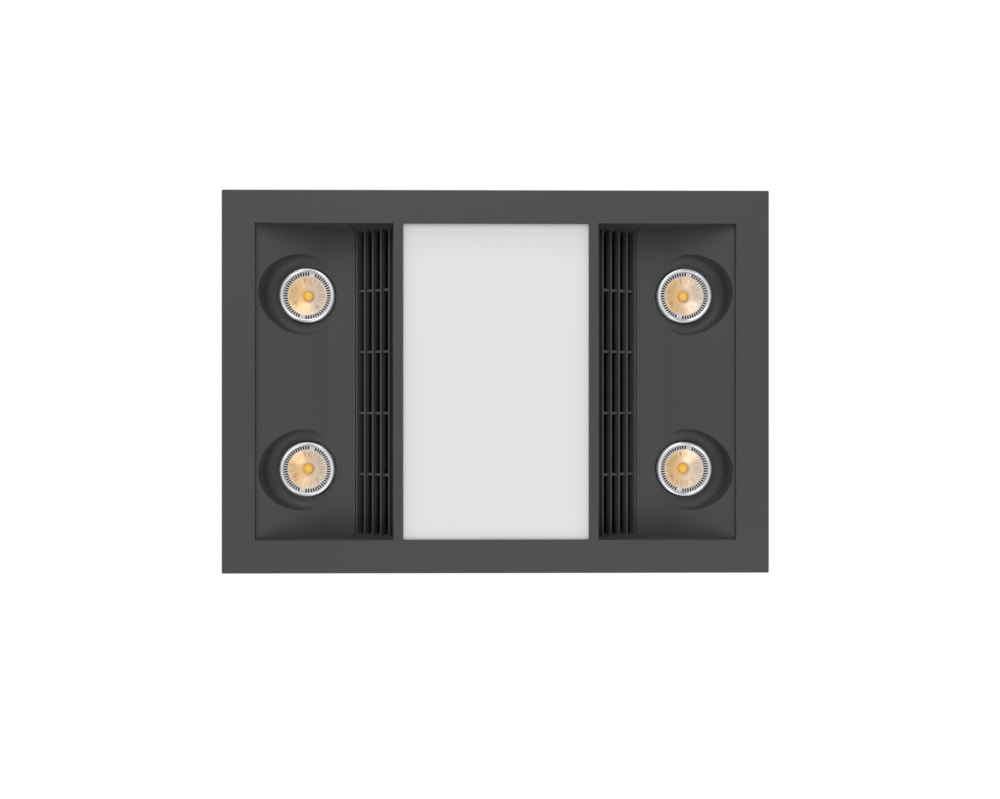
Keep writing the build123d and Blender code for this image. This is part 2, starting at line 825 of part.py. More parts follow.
with BuildPart() as housing_walls:
    with BuildSketch():
        RectangleRounded(housing_length, housing_width, housing_corner)
        RectangleRounded(housing_length - 2 * housing_sheet, housing_width - 2 * housing_sheet,
                         housing_corner - housing_sheet, mode=Mode.SUBTRACT)
    extrude(amount=housing_height)
    # flange against the ceiling, with the four holes that hold the unit up
    with BuildSketch():
        RectangleRounded(housing_length + 2 * flange_width, housing_width + 2 * flange_width,
                         housing_corner)
        RectangleRounded(housing_length - 2 * housing_sheet, housing_width - 2 * housing_sheet,
                         housing_corner - housing_sheet, mode=Mode.SUBTRACT)
        with GridLocations(housing_length + flange_width, ceiling_screw_spacing, 2, 2):
            Circle(ceiling_screw_hole_radius, mode=Mode.SUBTRACT)
    extrude(amount=-housing_sheet)
    # corner tabs under the roof
    with BuildSketch(Plane.XY.offset(housing_height)):
        with GridLocations(2 * roof_tab_x, 2 * roof_tab_y, 2, 2):
            Rectangle(tab_size, tab_size)
            Circle(screw_hole, mode=Mode.SUBTRACT)
    extrude(amount=-housing_sheet)
    # outlet hole and its flange screws
    with Locations(facing(spigot_x, spigot_seat, spigot_height, BACKWARD)):
        Cylinder(spigot_radius + slide_clearance, 4 * housing_sheet, mode=Mode.SUBTRACT)
        with PolarLocations(spigot_screw_circle, spigot_screw_count, start_angle=spigot_screw_start):
            Cylinder(screw_hole, 4 * housing_sheet, mode=Mode.SUBTRACT)
    for side in (-1, 1):
        for end in (-1, 1):
            for edge in (-1, 1):
                at = (side * lamp_x + edge * bracket_screw_offset, end * wall_y,
                      holder_top - bracket_screw_drop)
                with Locations(facing(*at, BACKWARD)):
                    Cylinder(screw_hole, 4 * housing_sheet, mode=Mode.SUBTRACT)

housing_walls.part.label = "housing_walls"
export_step(housing_walls.part, "parts/housing_walls.step")

with BuildPart() as housing_top:
    with BuildSketch(Plane.XY.offset(housing_height)):
        RectangleRounded(housing_length, housing_width, housing_corner)
        with Locations(*roof_screws, *scroll_screws, *motor_screw_places, *driver_screws,
                       *clip_screws, *terminal_base_screws):
            Circle(screw_hole, mode=Mode.SUBTRACT)
        with Locations((fan_x, fan_y)):
            Circle(motor_boss_radius + boss_hole_clearance, mode=Mode.SUBTRACT)
        with Locations(wire_hole):
            Circle(grommet_hole_radius, mode=Mode.SUBTRACT)
    extrude(amount=housing_sheet)

housing_top.part.label = "housing_top"
export_step(housing_top.part, "parts/housing_top.step")


# Fan


def volute(plane, margin):
    """The volute in plan: quarter arcs of growing radius, then straight out through the long wall."""
    first_x, first_y = volute_arcs[0][0]
    last_y = volute_arcs[2][0][1]
    tongue_x, tongue_y = outlet_left - margin, first_y + scroll_start_radius + margin
    bend = scroll_tongue_round - margin
    with BuildSketch(plane) as outline:
        with BuildLine():
            for centre, radius, start, ear in volute_arcs:
                CenterArc(centre, radius + margin, start, 90)
            Line((outlet_right + margin, last_y), (outlet_right + margin, wall_y))
            Line((outlet_right + margin, wall_y), (tongue_x, wall_y))
            Line((tongue_x, wall_y), (tongue_x, tongue_y + bend))
            CenterArc((tongue_x - bend, tongue_y + bend), bend, 270, 90)
            Line((tongue_x - bend, tongue_y), (first_x, tongue_y))
        make_face()
    return outline.sketch


with BuildPart() as fan_scroll:
    extrude(volute(Plane.XY.offset(scroll_floor_height), scroll_wall),
            amount=housing_height - scroll_floor_height)
    extrude(volute(Plane.XY.offset(scroll_floor_height + scroll_wall), 0),
            amount=housing_height, mode=Mode.SUBTRACT)
    with Locations((fan_x, fan_y, scroll_floor_height)):
        Cylinder(inlet_radius + inlet_flare + slide_clearance, 4 * scroll_wall, mode=Mode.SUBTRACT)
    # ears under the roof for the screws
    for x, y in scroll_screws:
        with Locations((x, y, housing_height)):
            Cylinder(scroll_ear_radius, scroll_ear_height, align=UNDER_SEAT)
    extrude(volute(Plane.XY.offset(scroll_floor_height + scroll_wall), 0),
            amount=housing_height, mode=Mode.SUBTRACT)
    for x, y in scroll_screws:
        with Locations((x, y, housing_height)):
            Cylinder(screw_radius, screw_length, align=UNDER_SEAT, mode=Mode.SUBTRACT)

fan_scroll.part.label = "fan_scroll"
export_step(fan_scroll.part, "parts/fan_scroll.step")

impeller_top = housing_height - impeller_top_gap
shroud_bottom = impeller_top - impeller_plate - blade_height
flare_edge = inlet_radius + inlet_flare
flare_floor = scroll_floor_height - inlet_wall
flare_top = flare_floor + inlet_flare
ring_top = shroud_bottom + impeller_plate
with BuildPart() as inlet_ring:
    # a bell mouth: a flange under the scroll's floor that curves up into the throat
    with BuildSketch(Plane.XZ) as mouth:
        with BuildLine():
            CenterArc((flare_edge, flare_top), inlet_flare, 180, 90)
            Polyline(
                (flare_edge, flare_floor),
                (flare_edge + inlet_flange, flare_floor),
                (flare_edge + inlet_flange, scroll_floor_height),
                (flare_edge, scroll_floor_height),
            )
            CenterArc((flare_edge, flare_top), inlet_flare - inlet_wall, 180, 90)
            Polyline(
                (inlet_radius + inlet_wall, flare_top),
                (inlet_radius + inlet_wall, ring_top),
                (inlet_radius, ring_top),
                (inlet_radius, flare_top),
            )
        make_face()
    revolve(mouth.sketch, axis=Axis.Z)
inlet_ring.part.locate(Location((fan_x, fan_y, 0)))

inlet_ring.part.label = "inlet_ring"
export_step(inlet_ring.part, "parts/inlet_ring.step")

motor_top = housing_height - grommet_height
motor_bottom = motor_top - motor_length
dome_inner = motor_radius + motor_dome_gap
dome_floor = motor_bottom - motor_boss_height - motor_dome_gap
hub_bottom = dome_floor - impeller_plate - impeller_hub_height

with BuildSketch() as fan_blade:
    with BuildLine():
        ThreePointArc(
            (impeller_inner_radius, 0),
            (
                (impeller_inner_radius + impeller_radius) / 2,
                fan_blade_sweep / 2 - fan_blade_bulge,
            ),
            (impeller_radius - fan_blade_thickness, fan_blade_sweep),
        )
    trace(line_width=fan_blade_thickness)

with BuildPart() as impeller:
    with BuildSketch(Plane.XZ) as wheel:
        with BuildLine():
            Polyline(
                (motor_shaft_radius + running_clearance, hub_bottom),
                (impeller_hub_radius, hub_bottom),
                (impeller_hub_radius, dome_floor - impeller_plate),
                (dome_inner + impeller_plate, dome_floor - impeller_plate),
                (dome_inner + impeller_plate, impeller_top - impeller_plate),
                (impeller_radius, impeller_top - impeller_plate),
                (impeller_radius, impeller_top),
                (dome_inner, impeller_top),
                (dome_inner, dome_floor),
                (motor_shaft_radius + running_clearance, dome_floor),
                close=True,
            )
        make_face()
    revolve(wheel.sketch, axis=Axis.Z)
impeller.part.locate(Location((fan_x, fan_y, 0)))

impeller.part.label = "impeller"
export_step(impeller.part, "parts/impeller.step")

# curved blades that stand between the plate and the shroud
with BuildPart() as impeller_blades:
    with BuildSketch(Plane.XY.offset(ring_top)) as blades:
        with PolarLocations(0, fan_blade_count):
            add(fan_blade.sketch)
    extrude(blades.sketch, amount=impeller_top - impeller_plate - ring_top)
impeller_blades.part.locate(Location((fan_x, fan_y, 0)))

impeller_blades.part.label = "impeller_blades"
export_step(impeller_blades.part, "parts/impeller_blades.step")

with BuildPart() as impeller_shroud:
    with BuildSketch(Plane.XY.offset(shroud_bottom)):
        Circle(impeller_radius)
        Circle(impeller_inner_radius, mode=Mode.SUBTRACT)
    extrude(amount=impeller_plate)
impeller_shroud.part.locate(Location((fan_x, fan_y, 0)))

impeller_shroud.part.label = "impeller_shroud"
export_step(impeller_shroud.part, "parts/impeller_shroud.step")

nut_top = hub_bottom
shaft_bottom = nut_top - nut_height - shaft_overrun
with BuildPart() as motor_shaft:
    with Locations((fan_x, fan_y, shaft_bottom)):
        Cylinder(motor_shaft_radius, motor_bottom - motor_boss_height + shaft_socket_depth - shaft_bottom,
                 align=ON_SEAT)
    chamfer(motor_shaft.edges().group_by(Axis.Z)[0], shaft_chamfer)

motor_shaft.part.label = "motor_shaft"
export_step(motor_shaft.part, "parts/motor_shaft.step")

with BuildPart() as impeller_nut:
    with BuildSketch(Plane.XY.offset(nut_top)):
        with Locations((fan_x, fan_y)):
            RegularPolygon(nut_flats / 2, 6, major_radius=False)
            Circle(motor_shaft_radius + running_clearance, mode=Mode.SUBTRACT)
    extrude(amount=-nut_height)

impeller_nut.part.label = "impeller_nut"
export_step(impeller_nut.part, "parts/impeller_nut.step")

with BuildPart() as fan_motor:
    with Locations((fan_x, fan_y, motor_top)):
        Cylinder(motor_radius, motor_length, align=UNDER_SEAT)
    fillet(fan_motor.edges().group_by(Axis.Z)[0], motor_round)
    fillet(fan_motor.edges().group_by(Axis.Z)[-1], motor_round)
    with Locations((fan_x, fan_y, motor_bottom)):
        Cylinder(motor_boss_radius, motor_boss_height, align=UNDER_SEAT)
    with Locations((fan_x, fan_y, motor_top)):
        Cylinder(motor_boss_radius, motor_boss_height, align=ON_SEAT)
    with Locations((fan_x, fan_y, motor_bottom - motor_boss_height)):
        Cylinder(motor_shaft_radius + running_clearance, shaft_socket_depth + running_clearance,
                 align=ON_SEAT, mode=Mode.SUBTRACT)
    for x, y in motor_screw_places:
        with Locations((x, y, motor_top)):
            Cylinder(screw_radius, screw_length, align=UNDER_SEAT, mode=Mode.SUBTRACT)

fan_motor.part.label = "fan_motor"
export_step(fan_motor.part, "parts/fan_motor.step")

with BuildPart() as motor_grommets:
    with BuildSketch(Plane.XY.offset(motor_top)):
        with Locations(*motor_screw_places):
            Circle(grommet_radius)
            Circle(screw_hole, mode=Mode.SUBTRACT)
    extrude(amount=grommet_height)

motor_grommets.part.label = "motor_grommets"
export_step(motor_grommets.part, "parts/motor_grommets.step")

with BuildPart() as motor_screws:
    for x, y in motor_screw_places:
        with Locations((x, y, roof)):
            Cylinder(screw_head_radius, screw_head_height, align=ON_SEAT)
            Cylinder(screw_radius, housing_sheet + grommet_height + motor_screw_bite, align=UNDER_SEAT)

motor_screws.part.label = "motor_screws"
export_step(motor_screws.part, "parts/motor_screws.step")


# Duct spigot and its two backdraft flaps

flap_y = spigot_seat - spigot_inside + flap_plane
flap_radius = spigot_radius - spigot_wall - flap_clearance
with BuildPart() as duct_spigot:
    with Locations(facing(spigot_x, spigot_seat, spigot_height, BACKWARD)):
        Cylinder(spigot_flange_radius, spigot_flange_thickness, align=ON_SEAT)
        Cylinder(spigot_radius, spigot_outside, align=ON_SEAT)
        Cylinder(spigot_radius, spigot_inside, align=UNDER_SEAT)
        Cylinder(spigot_radius - spigot_wall, 4 * spigot_outside, mode=Mode.SUBTRACT)
        with PolarLocations(spigot_screw_circle, spigot_screw_count, start_angle=spigot_screw_start):
            Cylinder(screw_hole, spigot_flange_thickness, align=ON_SEAT, mode=Mode.SUBTRACT)
    # ledge that the closed flaps rest against
    stop_y = flap_y - flap_thickness / 2 - seat_gap - flap_stop_thickness
    with Locations(facing(spigot_x, stop_y, spigot_height, BACKWARD)):
        Cylinder(spigot_radius - spigot_wall / 2, flap_stop_thickness, align=ON_SEAT)
        Cylinder(spigot_radius - spigot_wall - flap_stop_width, flap_stop_thickness, align=ON_SEAT,
                 mode=Mode.SUBTRACT)
    with Locations((spigot_x, flap_y, spigot_height)):
        Cylinder(flap_pin_radius, 3 * spigot_radius, mode=Mode.SUBTRACT)

duct_spigot.part.label = "duct_spigot"
export_step(duct_spigot.part, "parts/duct_spigot.step")

with BuildPart() as flap_pin:
    with Locations((spigot_x, flap_y, spigot_height)):
        Cylinder(flap_pin_radius, 2 * spigot_radius)

flap_pin.part.label = "flap_pin"
export_step(flap_pin.part, "parts/flap_pin.step")

knuckle_reach = flap_radius - flap_stop_width - knuckle_gap
knuckle_length = (knuckle_reach - flap_spring_length / 2 - 2 * knuckle_gap) / 2
inner_knuckle = flap_spring_length / 2 + knuckle_gap + knuckle_length / 2
outer_knuckle = inner_knuckle + knuckle_length + knuckle_gap


def backdraft_flap(side):
    """Half disc with two hinge knuckles on the pin, placed to miss the other flap's."""
    knuckles = (side * inner_knuckle, -side * outer_knuckle)
    plate_start = knuckle_radius + seat_gap
    with BuildPart() as flap:
        with BuildSketch(Plane(origin=(spigot_x, flap_y, spigot_height), x_dir=(1, 0, 0),
                               z_dir=BACKWARD)) as disc:
            Circle(flap_radius)
            with Locations((-side * (flap_radius - plate_start), 0)):
                Rectangle(2 * flap_radius, 3 * flap_radius, mode=Mode.SUBTRACT)
            RectangleRounded(2 * flap_notch_radius, flap_spring_length, flap_spring_wire,
                             mode=Mode.SUBTRACT)
        extrude(disc.sketch, amount=flap_thickness / 2, both=True)
        for height in knuckles:
            with Locations((spigot_x, flap_y, spigot_height + height)):
                Cylinder(knuckle_radius, knuckle_length)
                with Locations((side * (plate_start + knuckle_gap) / 2, 0, 0)):
                    Box(plate_start + knuckle_gap, flap_thickness, knuckle_length)
        with Locations((spigot_x, flap_y, spigot_height)):
            Cylinder(flap_pin_radius + running_clearance, 4 * spigot_radius, mode=Mode.SUBTRACT)
    return flap


flap_left = backdraft_flap(-1)
flap_left.part.label = "flap_left"
export_step(flap_left.part, "parts/flap_left.step")

flap_right = backdraft_flap(1)
flap_right.part.label = "flap_right"
export_step(flap_right.part, "parts/flap_right.step")

coil_length = flap_spring_length / 2 - knuckle_gap


def closing_spring(side):
    """Half of the closing spring: a coil on the pin, and a leg that lies on its flap."""
    height = spigot_height + side * flap_spring_length / 4
    leg_y = flap_y + flap_thickness / 2 + seat_gap + flap_spring_wire
    with BuildPart() as spring:
        with Locations((spigot_x, flap_y, height)):
            Cylinder(flap_spring_radius, coil_length)
        with Locations(facing(spigot_x, leg_y, height, (side, 0, 0))):
            Cylinder(flap_spring_wire, flap_spring_leg, align=ON_SEAT)
        with Locations((spigot_x, flap_y, height)):
            Cylinder(flap_pin_radius + running_clearance, 2 * flap_spring_length, mode=Mode.SUBTRACT)
    return spring


flap_spring_left = closing_spring(-1)
flap_spring_left.part.label = "flap_spring_left"
export_step(flap_spring_left.part, "parts/flap_spring_left.step")

flap_spring_right = closing_spring(1)
flap_spring_right.part.label = "flap_spring_right"
export_step(flap_spring_right.part, "parts/flap_spring_right.step")


# Electrical parts on the roof

with BuildPart() as terminal_box:
    with BuildSketch(Plane.XY.offset(roof)):
        with Locations((terminal_x, terminal_y)):
            RectangleRounded(terminal_length, terminal_width, terminal_round)
    extrude(amount=terminal_height)
    with BuildSketch(Plane.XY.offset(roof + terminal_wall)):
        with Locations((terminal_x, terminal_y)):
            Rectangle(terminal_length - 2 * terminal_wall, terminal_width - 2 * terminal_wall)
    extrude(amount=terminal_height, mode=Mode.SUBTRACT)
    with BuildSketch(Plane.XY.offset(roof)):
        with Locations(*cover_screws):
            Rectangle(2 * terminal_boss_radius, 2 * terminal_boss_radius)
    extrude(amount=terminal_height)
    for x, y in cover_screws:
        with Locations((x, y, roof + terminal_height)):
            Cylinder(screw_radius, screw_length, align=UNDER_SEAT, mode=Mode.SUBTRACT)
    for x, y in terminal_base_screws:
        with Locations((x, y, roof)):
            Cylinder(screw_hole, terminal_wall, align=ON_SEAT, mode=Mode.SUBTRACT)
    with Locations((*wire_hole, roof)):
        Cylinder(grommet_hole_radius, terminal_wall, align=ON_SEAT, mode=Mode.SUBTRACT)
    gland_seat = facing(terminal_x - terminal_length / 2, terminal_y, roof + terminal_height / 2, LEFT)
    with Locations(gland_seat):
        Cylinder(gland_body_radius, 3 * terminal_wall, mode=Mode.SUBTRACT)

terminal_box.part.label = "terminal_box"
export_step(terminal_box.part, "parts/terminal_box.step")

with BuildPart() as terminal_cover:
    with BuildSketch(Plane.XY.offset(roof + terminal_height)):
        with Locations((terminal_x, terminal_y)):
            RectangleRounded(terminal_length, terminal_width, terminal_round)
        with Locations(*cover_screws):
            Circle(screw_hole, mode=Mode.SUBTRACT)
    extrude(amount=cover_thickness)

terminal_cover.part.label = "terminal_cover"
export_step(terminal_cover.part, "parts/terminal_cover.step")

block_floor = roof + terminal_wall
with BuildPart() as terminal_block:
    with Locations((terminal_x, terminal_y + terminal_width / 5, block_floor)):
        Box(block_pole_count * block_pole_pitch, block_width, block_height, align=ON_SEAT)
    chamfer(terminal_block.edges().filter_by(Axis.X).group_by(Axis.Z)[-1], block_width / 4)
    with Locations((terminal_x, terminal_y + terminal_width / 5, block_floor + block_height)):
        with GridLocations(block_pole_pitch, 1, block_pole_count, 1):
            Cylinder(screw_radius, block_height / 2, align=UNDER_SEAT, mode=Mode.SUBTRACT)
    with Locations((terminal_x, terminal_y + terminal_width / 5, block_floor + block_height / 4)):
        with GridLocations(block_pole_pitch, 1, block_pole_count, 1):
            Box(block_pole_pitch / 2, 2 * block_width, block_height / 4, mode=Mode.SUBTRACT)

terminal_block.part.label = "terminal_block"
export_step(terminal_block.part, "parts/terminal_block.step")

with BuildPart() as cable_gland:
    with Locations(gland_seat):
        Cylinder(gland_body_radius - slide_clearance / 2, gland_inside, align=UNDER_SEAT)
        Cylinder(gland_nut_radius, gland_outside / 4, align=ON_SEAT)
        Cylinder(gland_body_radius, gland_outside, align=ON_SEAT)
    with BuildSketch(gland_seat.offset(gland_outside / 4)) as dome_nut:
        RegularPolygon(gland_nut_radius, 6)
    extrude(dome_nut.sketch, amount=gland_outside / 2)
    with Locations(gland_seat):
        Cylinder(gland_bore_radius, 4 * gland_outside, mode=Mode.SUBTRACT)

cable_gland.part.label = "cable_gland"
export_step(cable_gland.part, "parts/cable_gland.step")

grommet_stack = housing_sheet + terminal_wall
with BuildPart() as wire_grommet:
    with BuildSketch(Plane.XZ) as section:
        with BuildLine():
            Polyline(
                (grommet_hole_radius - grommet_wall, housing_height - grommet_wall),
                (grommet_hole_radius + grommet_wall, housing_height - grommet_wall),
                (grommet_hole_radius + grommet_wall, housing_height),
                (grommet_hole_radius, housing_height),
                (grommet_hole_radius, housing_height + grommet_stack),
                (grommet_hole_radius + grommet_wall, housing_height + grommet_stack),
                (grommet_hole_radius + grommet_wall, housing_height + grommet_stack + grommet_wall),
                (grommet_hole_radius - grommet_wall, housing_height + grommet_stack + grommet_wall),
                close=True,
            )
        make_face()
    revolve(section.sketch, axis=Axis.Z)
wire_grommet.part.locate(Location((*wire_hole, 0)))

wire_grommet.part.label = "wire_grommet"
export_step(wire_grommet.part, "parts/wire_grommet.step")

with BuildPart() as led_driver:
    with BuildSketch(Plane.XY.offset(roof)):
        with Locations((driver_x, driver_y)):
            RectangleRounded(driver_length, driver_width, driver_round)
    extrude(amount=driver_height)
    fillet(led_driver.edges().group_by(Axis.Z)[-1], driver_round / 2)
    with BuildSketch(Plane.XY.offset(roof)):
        with Locations((driver_x, driver_y)):
            SlotOverall(driver_length + 2 * driver_ear, driver_ear)
        with Locations(*driver_screws):
            Circle(screw_hole, mode=Mode.SUBTRACT)
    extrude(amount=driver_ear_thickness)

led_driver.part.label = "led_driver"
export_step(led_driver.part, "parts/led_driver.step")

capacitor_axis = facing(capacitor_x, capacitor_y, roof + capacitor_radius, RIGHT)
with BuildPart() as capacitor:
    with Locations(capacitor_axis):
        Cylinder(capacitor_radius, capacitor_length)
    fillet(capacitor.edges().filter_by(GeomType.CIRCLE), capacitor_round)

capacitor.part.label = "capacitor"
export_step(capacitor.part, "parts/capacitor.step")

with BuildPart() as capacitor_clip:
    with BuildSketch(Plane.YZ.offset(capacitor_x)) as strap:
        with Locations((capacitor_y, roof + capacitor_radius)):
            Circle(capacitor_radius + clip_sheet)
            with Locations((0, -capacitor_radius / 2)):
                Rectangle(2 * (capacitor_radius + clip_sheet), capacitor_radius)
        with Locations((capacitor_y, roof + clip_sheet / 2)):
            Rectangle(2 * (capacitor_radius + clip_sheet + clip_foot), clip_sheet)
        with Locations((capacitor_y, roof + capacitor_radius)):
            Circle(capacitor_radius, mode=Mode.SUBTRACT)
            with Locations((0, -capacitor_radius)):
                Rectangle(2 * capacitor_radius, 2 * capacitor_radius, mode=Mode.SUBTRACT)
    extrude(strap.sketch, amount=clip_width / 2, both=True)
    split(bisect_by=Plane.XY.offset(roof), keep=Keep.TOP)
    for x, y in clip_screws:
        with Locations((x, y, roof)):
            Cylinder(screw_hole, clip_sheet, align=ON_SEAT, mode=Mode.SUBTRACT)

capacitor_clip.part.label = "capacitor_clip"
export_step(capacitor_clip.part, "parts/capacitor_clip.step")


# Sheet-metal screws of the housing, each with its head on the plane and its shank behind it

case_screw_seats = [facing(x, y, roof, UP) for x, y in (*roof_screws, *scroll_screws)]
case_screw_seats += [facing(x, y, roof + driver_ear_thickness, UP) for x, y in driver_screws]
case_screw_seats += [facing(x, y, roof + clip_sheet, UP) for x, y in clip_screws]
case_screw_seats += [facing(x, y, roof + terminal_wall, UP) for x, y in terminal_base_screws]
case_screw_seats += [facing(x, y, roof + terminal_height + cover_thickness, UP) for x, y in cover_screws]
for angle in spigot_screw_angles:
    x = spigot_x + spigot_screw_circle * cos(radians(angle))
    z = spigot_height + spigot_screw_circle * sin(radians(angle))
    case_screw_seats.append(facing(x, spigot_seat + spigot_flange_thickness, z, BACKWARD))
for side in (-1, 1):
    for end in (-1, 1):
        for edge in (-1, 1):
            case_screw_seats.append(
                facing(side * lamp_x + edge * bracket_screw_offset, end * housing_width / 2,
                       holder_top - bracket_screw_drop, (0, end, 0))
            )

with BuildPart() as case_screws:
    with Locations(*case_screw_seats):
        Cylinder(screw_head_radius, screw_head_height, align=ON_SEAT)
        Cylinder(screw_radius, screw_length, align=UNDER_SEAT)

case_screws.part.label = "case_screws"
export_step(case_screws.part, "parts/case_screws.step")
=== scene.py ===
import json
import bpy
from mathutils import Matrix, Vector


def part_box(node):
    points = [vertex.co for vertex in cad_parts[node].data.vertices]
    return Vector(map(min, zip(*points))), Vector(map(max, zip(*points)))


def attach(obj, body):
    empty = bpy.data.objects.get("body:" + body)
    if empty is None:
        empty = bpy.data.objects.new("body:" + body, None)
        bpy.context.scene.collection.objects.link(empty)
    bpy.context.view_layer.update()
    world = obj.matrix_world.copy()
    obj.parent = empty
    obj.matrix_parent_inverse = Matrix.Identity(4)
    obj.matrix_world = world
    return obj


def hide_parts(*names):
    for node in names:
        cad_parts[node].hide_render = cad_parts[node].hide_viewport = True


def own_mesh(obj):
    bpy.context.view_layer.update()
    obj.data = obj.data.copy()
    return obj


bl_info = {
    "name": "Bathroom Ceiling Heater",
    "version": (1, 0, 0),
    "blender": (4, 5, 0),
    "location": "View3D > Sidebar > Ceiling Heater",
    "description": "Gives the packed ceiling heater its moulded, metal and lamp pieces, finishes and studio",
    "category": "Object",
}

from math import atan2, cos, degrees, pi, radians, sin

import bmesh
import bpy
from mathutils import Matrix, Vector

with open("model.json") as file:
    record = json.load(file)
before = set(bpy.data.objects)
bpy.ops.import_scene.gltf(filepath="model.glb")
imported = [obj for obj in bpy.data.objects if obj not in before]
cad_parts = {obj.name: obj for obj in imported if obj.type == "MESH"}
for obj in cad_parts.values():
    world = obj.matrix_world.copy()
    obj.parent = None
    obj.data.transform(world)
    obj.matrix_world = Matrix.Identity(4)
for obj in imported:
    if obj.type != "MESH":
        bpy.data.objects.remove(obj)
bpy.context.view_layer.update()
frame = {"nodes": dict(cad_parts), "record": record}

MM = 0.001
LAMPS = (1, 2, 3, 4)

# Corners closer than this are one, and edges sharper than this, in degrees, stay sharp
WELD = 1e-6
SHARP = 35.0

DUST = (0.42, 0.40, 0.37, 1)

# Grille blades: spacing, rise of the tips from blade to blade, depth of the outermost tip, half thickness,
# number, slope of the leaning fronts, how deep the outermost and the other fronts lean, and length
BLADE_PITCH, BLADE_RISE, FIRST_TIP, HALF_BLADE = 8.2 * MM, 2.75 * MM, 19.0 * MM, 0.8 * MM
BLADE_COUNT, BLADE_LEAN, FIRST_LEAN_DEPTH, LEAN_DEPTH = 5, 0.577, 7.0 * MM, 4.8 * MM
GRILLE_LENGTH = 289.4 * MM

# Lamps: angle of the first slot in degrees, radius of the gold dish, radii between which the slots lie,
# radius and depth of the dish's flat middle, and depth of the land round the dish
FIRST_SLOT = -87
DISH_RADIUS, SLOT_INNER, SLOT_OUTER = 18.3 * MM, 18.7 * MM, 22.2 * MM
DISH_FLOOR, DISH_DEPTH, LAND_DEPTH = 6.6 * MM, 5.0 * MM, 0.9 * MM

# V springs: place of each pair, radius, wire radius and turn of a coil, lean and length of a leg, and radius
# and length of its hook
SPRING_PLACE, COIL_RADIUS, SPRING_WIRE, COIL_TURN = 60 * MM, 4 * MM, 0.72 * MM, radians(500)
LEG_LEAN, LEG_LENGTH, HOOK_BEND, HOOK_LENGTH = radians(20), 57.2 * MM, 2 * MM, 4.2 * MM


# Shader nodes


def put(tree, kind, inputs=None, **settings):
    """A node with its settings, and its inputs set or linked by name or number."""
    made = tree.nodes.new(kind)
    for name, value in settings.items():
        setattr(made, name, value)
    for name, value in (inputs or {}).items():
        if isinstance(value, bpy.types.NodeSocket):
            tree.links.new(value, made.inputs[name])
        else:
            made.inputs[name].default_value = value
    return made


def blend_colour(tree, share, first, second):
    """Colour between two, by a share that may be a socket."""
    return put(tree, "ShaderNodeMix", {0: share, 6: first, 7: second}, data_type="RGBA").outputs[2]


def arithmetic(tree, operation, first, second=0.0, third=0.0):
    """Result of a Math node."""
    return put(tree, "ShaderNodeMath", {0: first, 1: second, 2: third}, operation=operation).outputs[0]


def stretch(tree, value, low, high, to_low=0.0, to_high=1.0):
    """A value brought from one range to another, and kept inside it."""
    ranged = put(tree, "ShaderNodeMapRange",
                 {"Value": value, "From Min": low, "From Max": high, "To Min": to_low, "To Max": to_high})
    return ranged.outputs[0]


def new_group(name, inputs, outputs):
    """A shader node group with named sockets, and its two end nodes."""
    tree = bpy.data.node_groups.new(name, "ShaderNodeTree")
    for title, kind, value in inputs:
        tree.interface.new_socket(title, in_out="INPUT", socket_type=kind).default_value = value
    for title, kind in outputs:
        tree.interface.new_socket(title, in_out="OUTPUT", socket_type=kind)
    return tree, tree.nodes.new("NodeGroupInput").outputs, tree.nodes.new("NodeGroupOutput").inputs


NUMBER, COLOUR, VECTOR = "NodeSocketFloat", "NodeSocketColor", "NodeSocketVector"


def grain_group():
    """Fine moulded or cast texture: a bumped normal and a roughness that drifts a little."""
    tree, given, out = new_group(
        "surface_grain",
        [("Scale", NUMBER, 900.0), ("Depth", NUMBER, 0.1), ("Roughness", NUMBER, 0.5),
         ("Drift", NUMBER, 0.08)],
        [("Normal", VECTOR), ("Roughness", NUMBER)],
    )
    place = put(tree, "ShaderNodeTexCoord").outputs["Object"]
    fine = put(tree, "ShaderNodeTexNoise", {"Vector": place, "Scale": given["Scale"], "Detail": 3.0})
    bump = put(tree, "ShaderNodeBump",
               {"Strength": given["Depth"], "Distance": 0.0003, "Height": fine.outputs["Fac"]})
    slow = put(tree, "ShaderNodeTexNoise", {"Vector": place, "Scale": 18.0, "Detail": 4.0})
    swing = arithmetic(tree, "SUBTRACT", slow.outputs["Fac"], 0.5)
    level = arithmetic(tree, "MULTIPLY_ADD", swing, given["Drift"], given["Roughness"])
    tree.links.new(bump.outputs["Normal"], out["Normal"])
    tree.links.new(level, out["Roughness"])
    return tree


def drift_group():
    """A colour that lightens and darkens slowly over the surface, as real finishes do."""
    tree, given, out = new_group(
        "colour_drift",
        [("Colour", COLOUR, (0.5, 0.5, 0.5, 1)), ("Amount", NUMBER, 0.1), ("Scale", NUMBER, 12.0)],
        [("Colour", COLOUR)],
    )
    place = put(tree, "ShaderNodeTexCoord").outputs["Object"]
    slow = put(tree, "ShaderNodeTexNoise", {"Vector": place, "Scale": given["Scale"], "Detail": 3.0})
    swing = arithmetic(tree, "SUBTRACT", slow.outputs["Fac"], 0.5)
    level = arithmetic(tree, "MULTIPLY_ADD", swing, given["Amount"], 1.0)
    shaded = put(tree, "ShaderNodeVectorMath", {0: given["Colour"], "Scale": level}, operation="SCALE")
    tree.links.new(shaded.outputs[0], out["Colour"])
    return tree


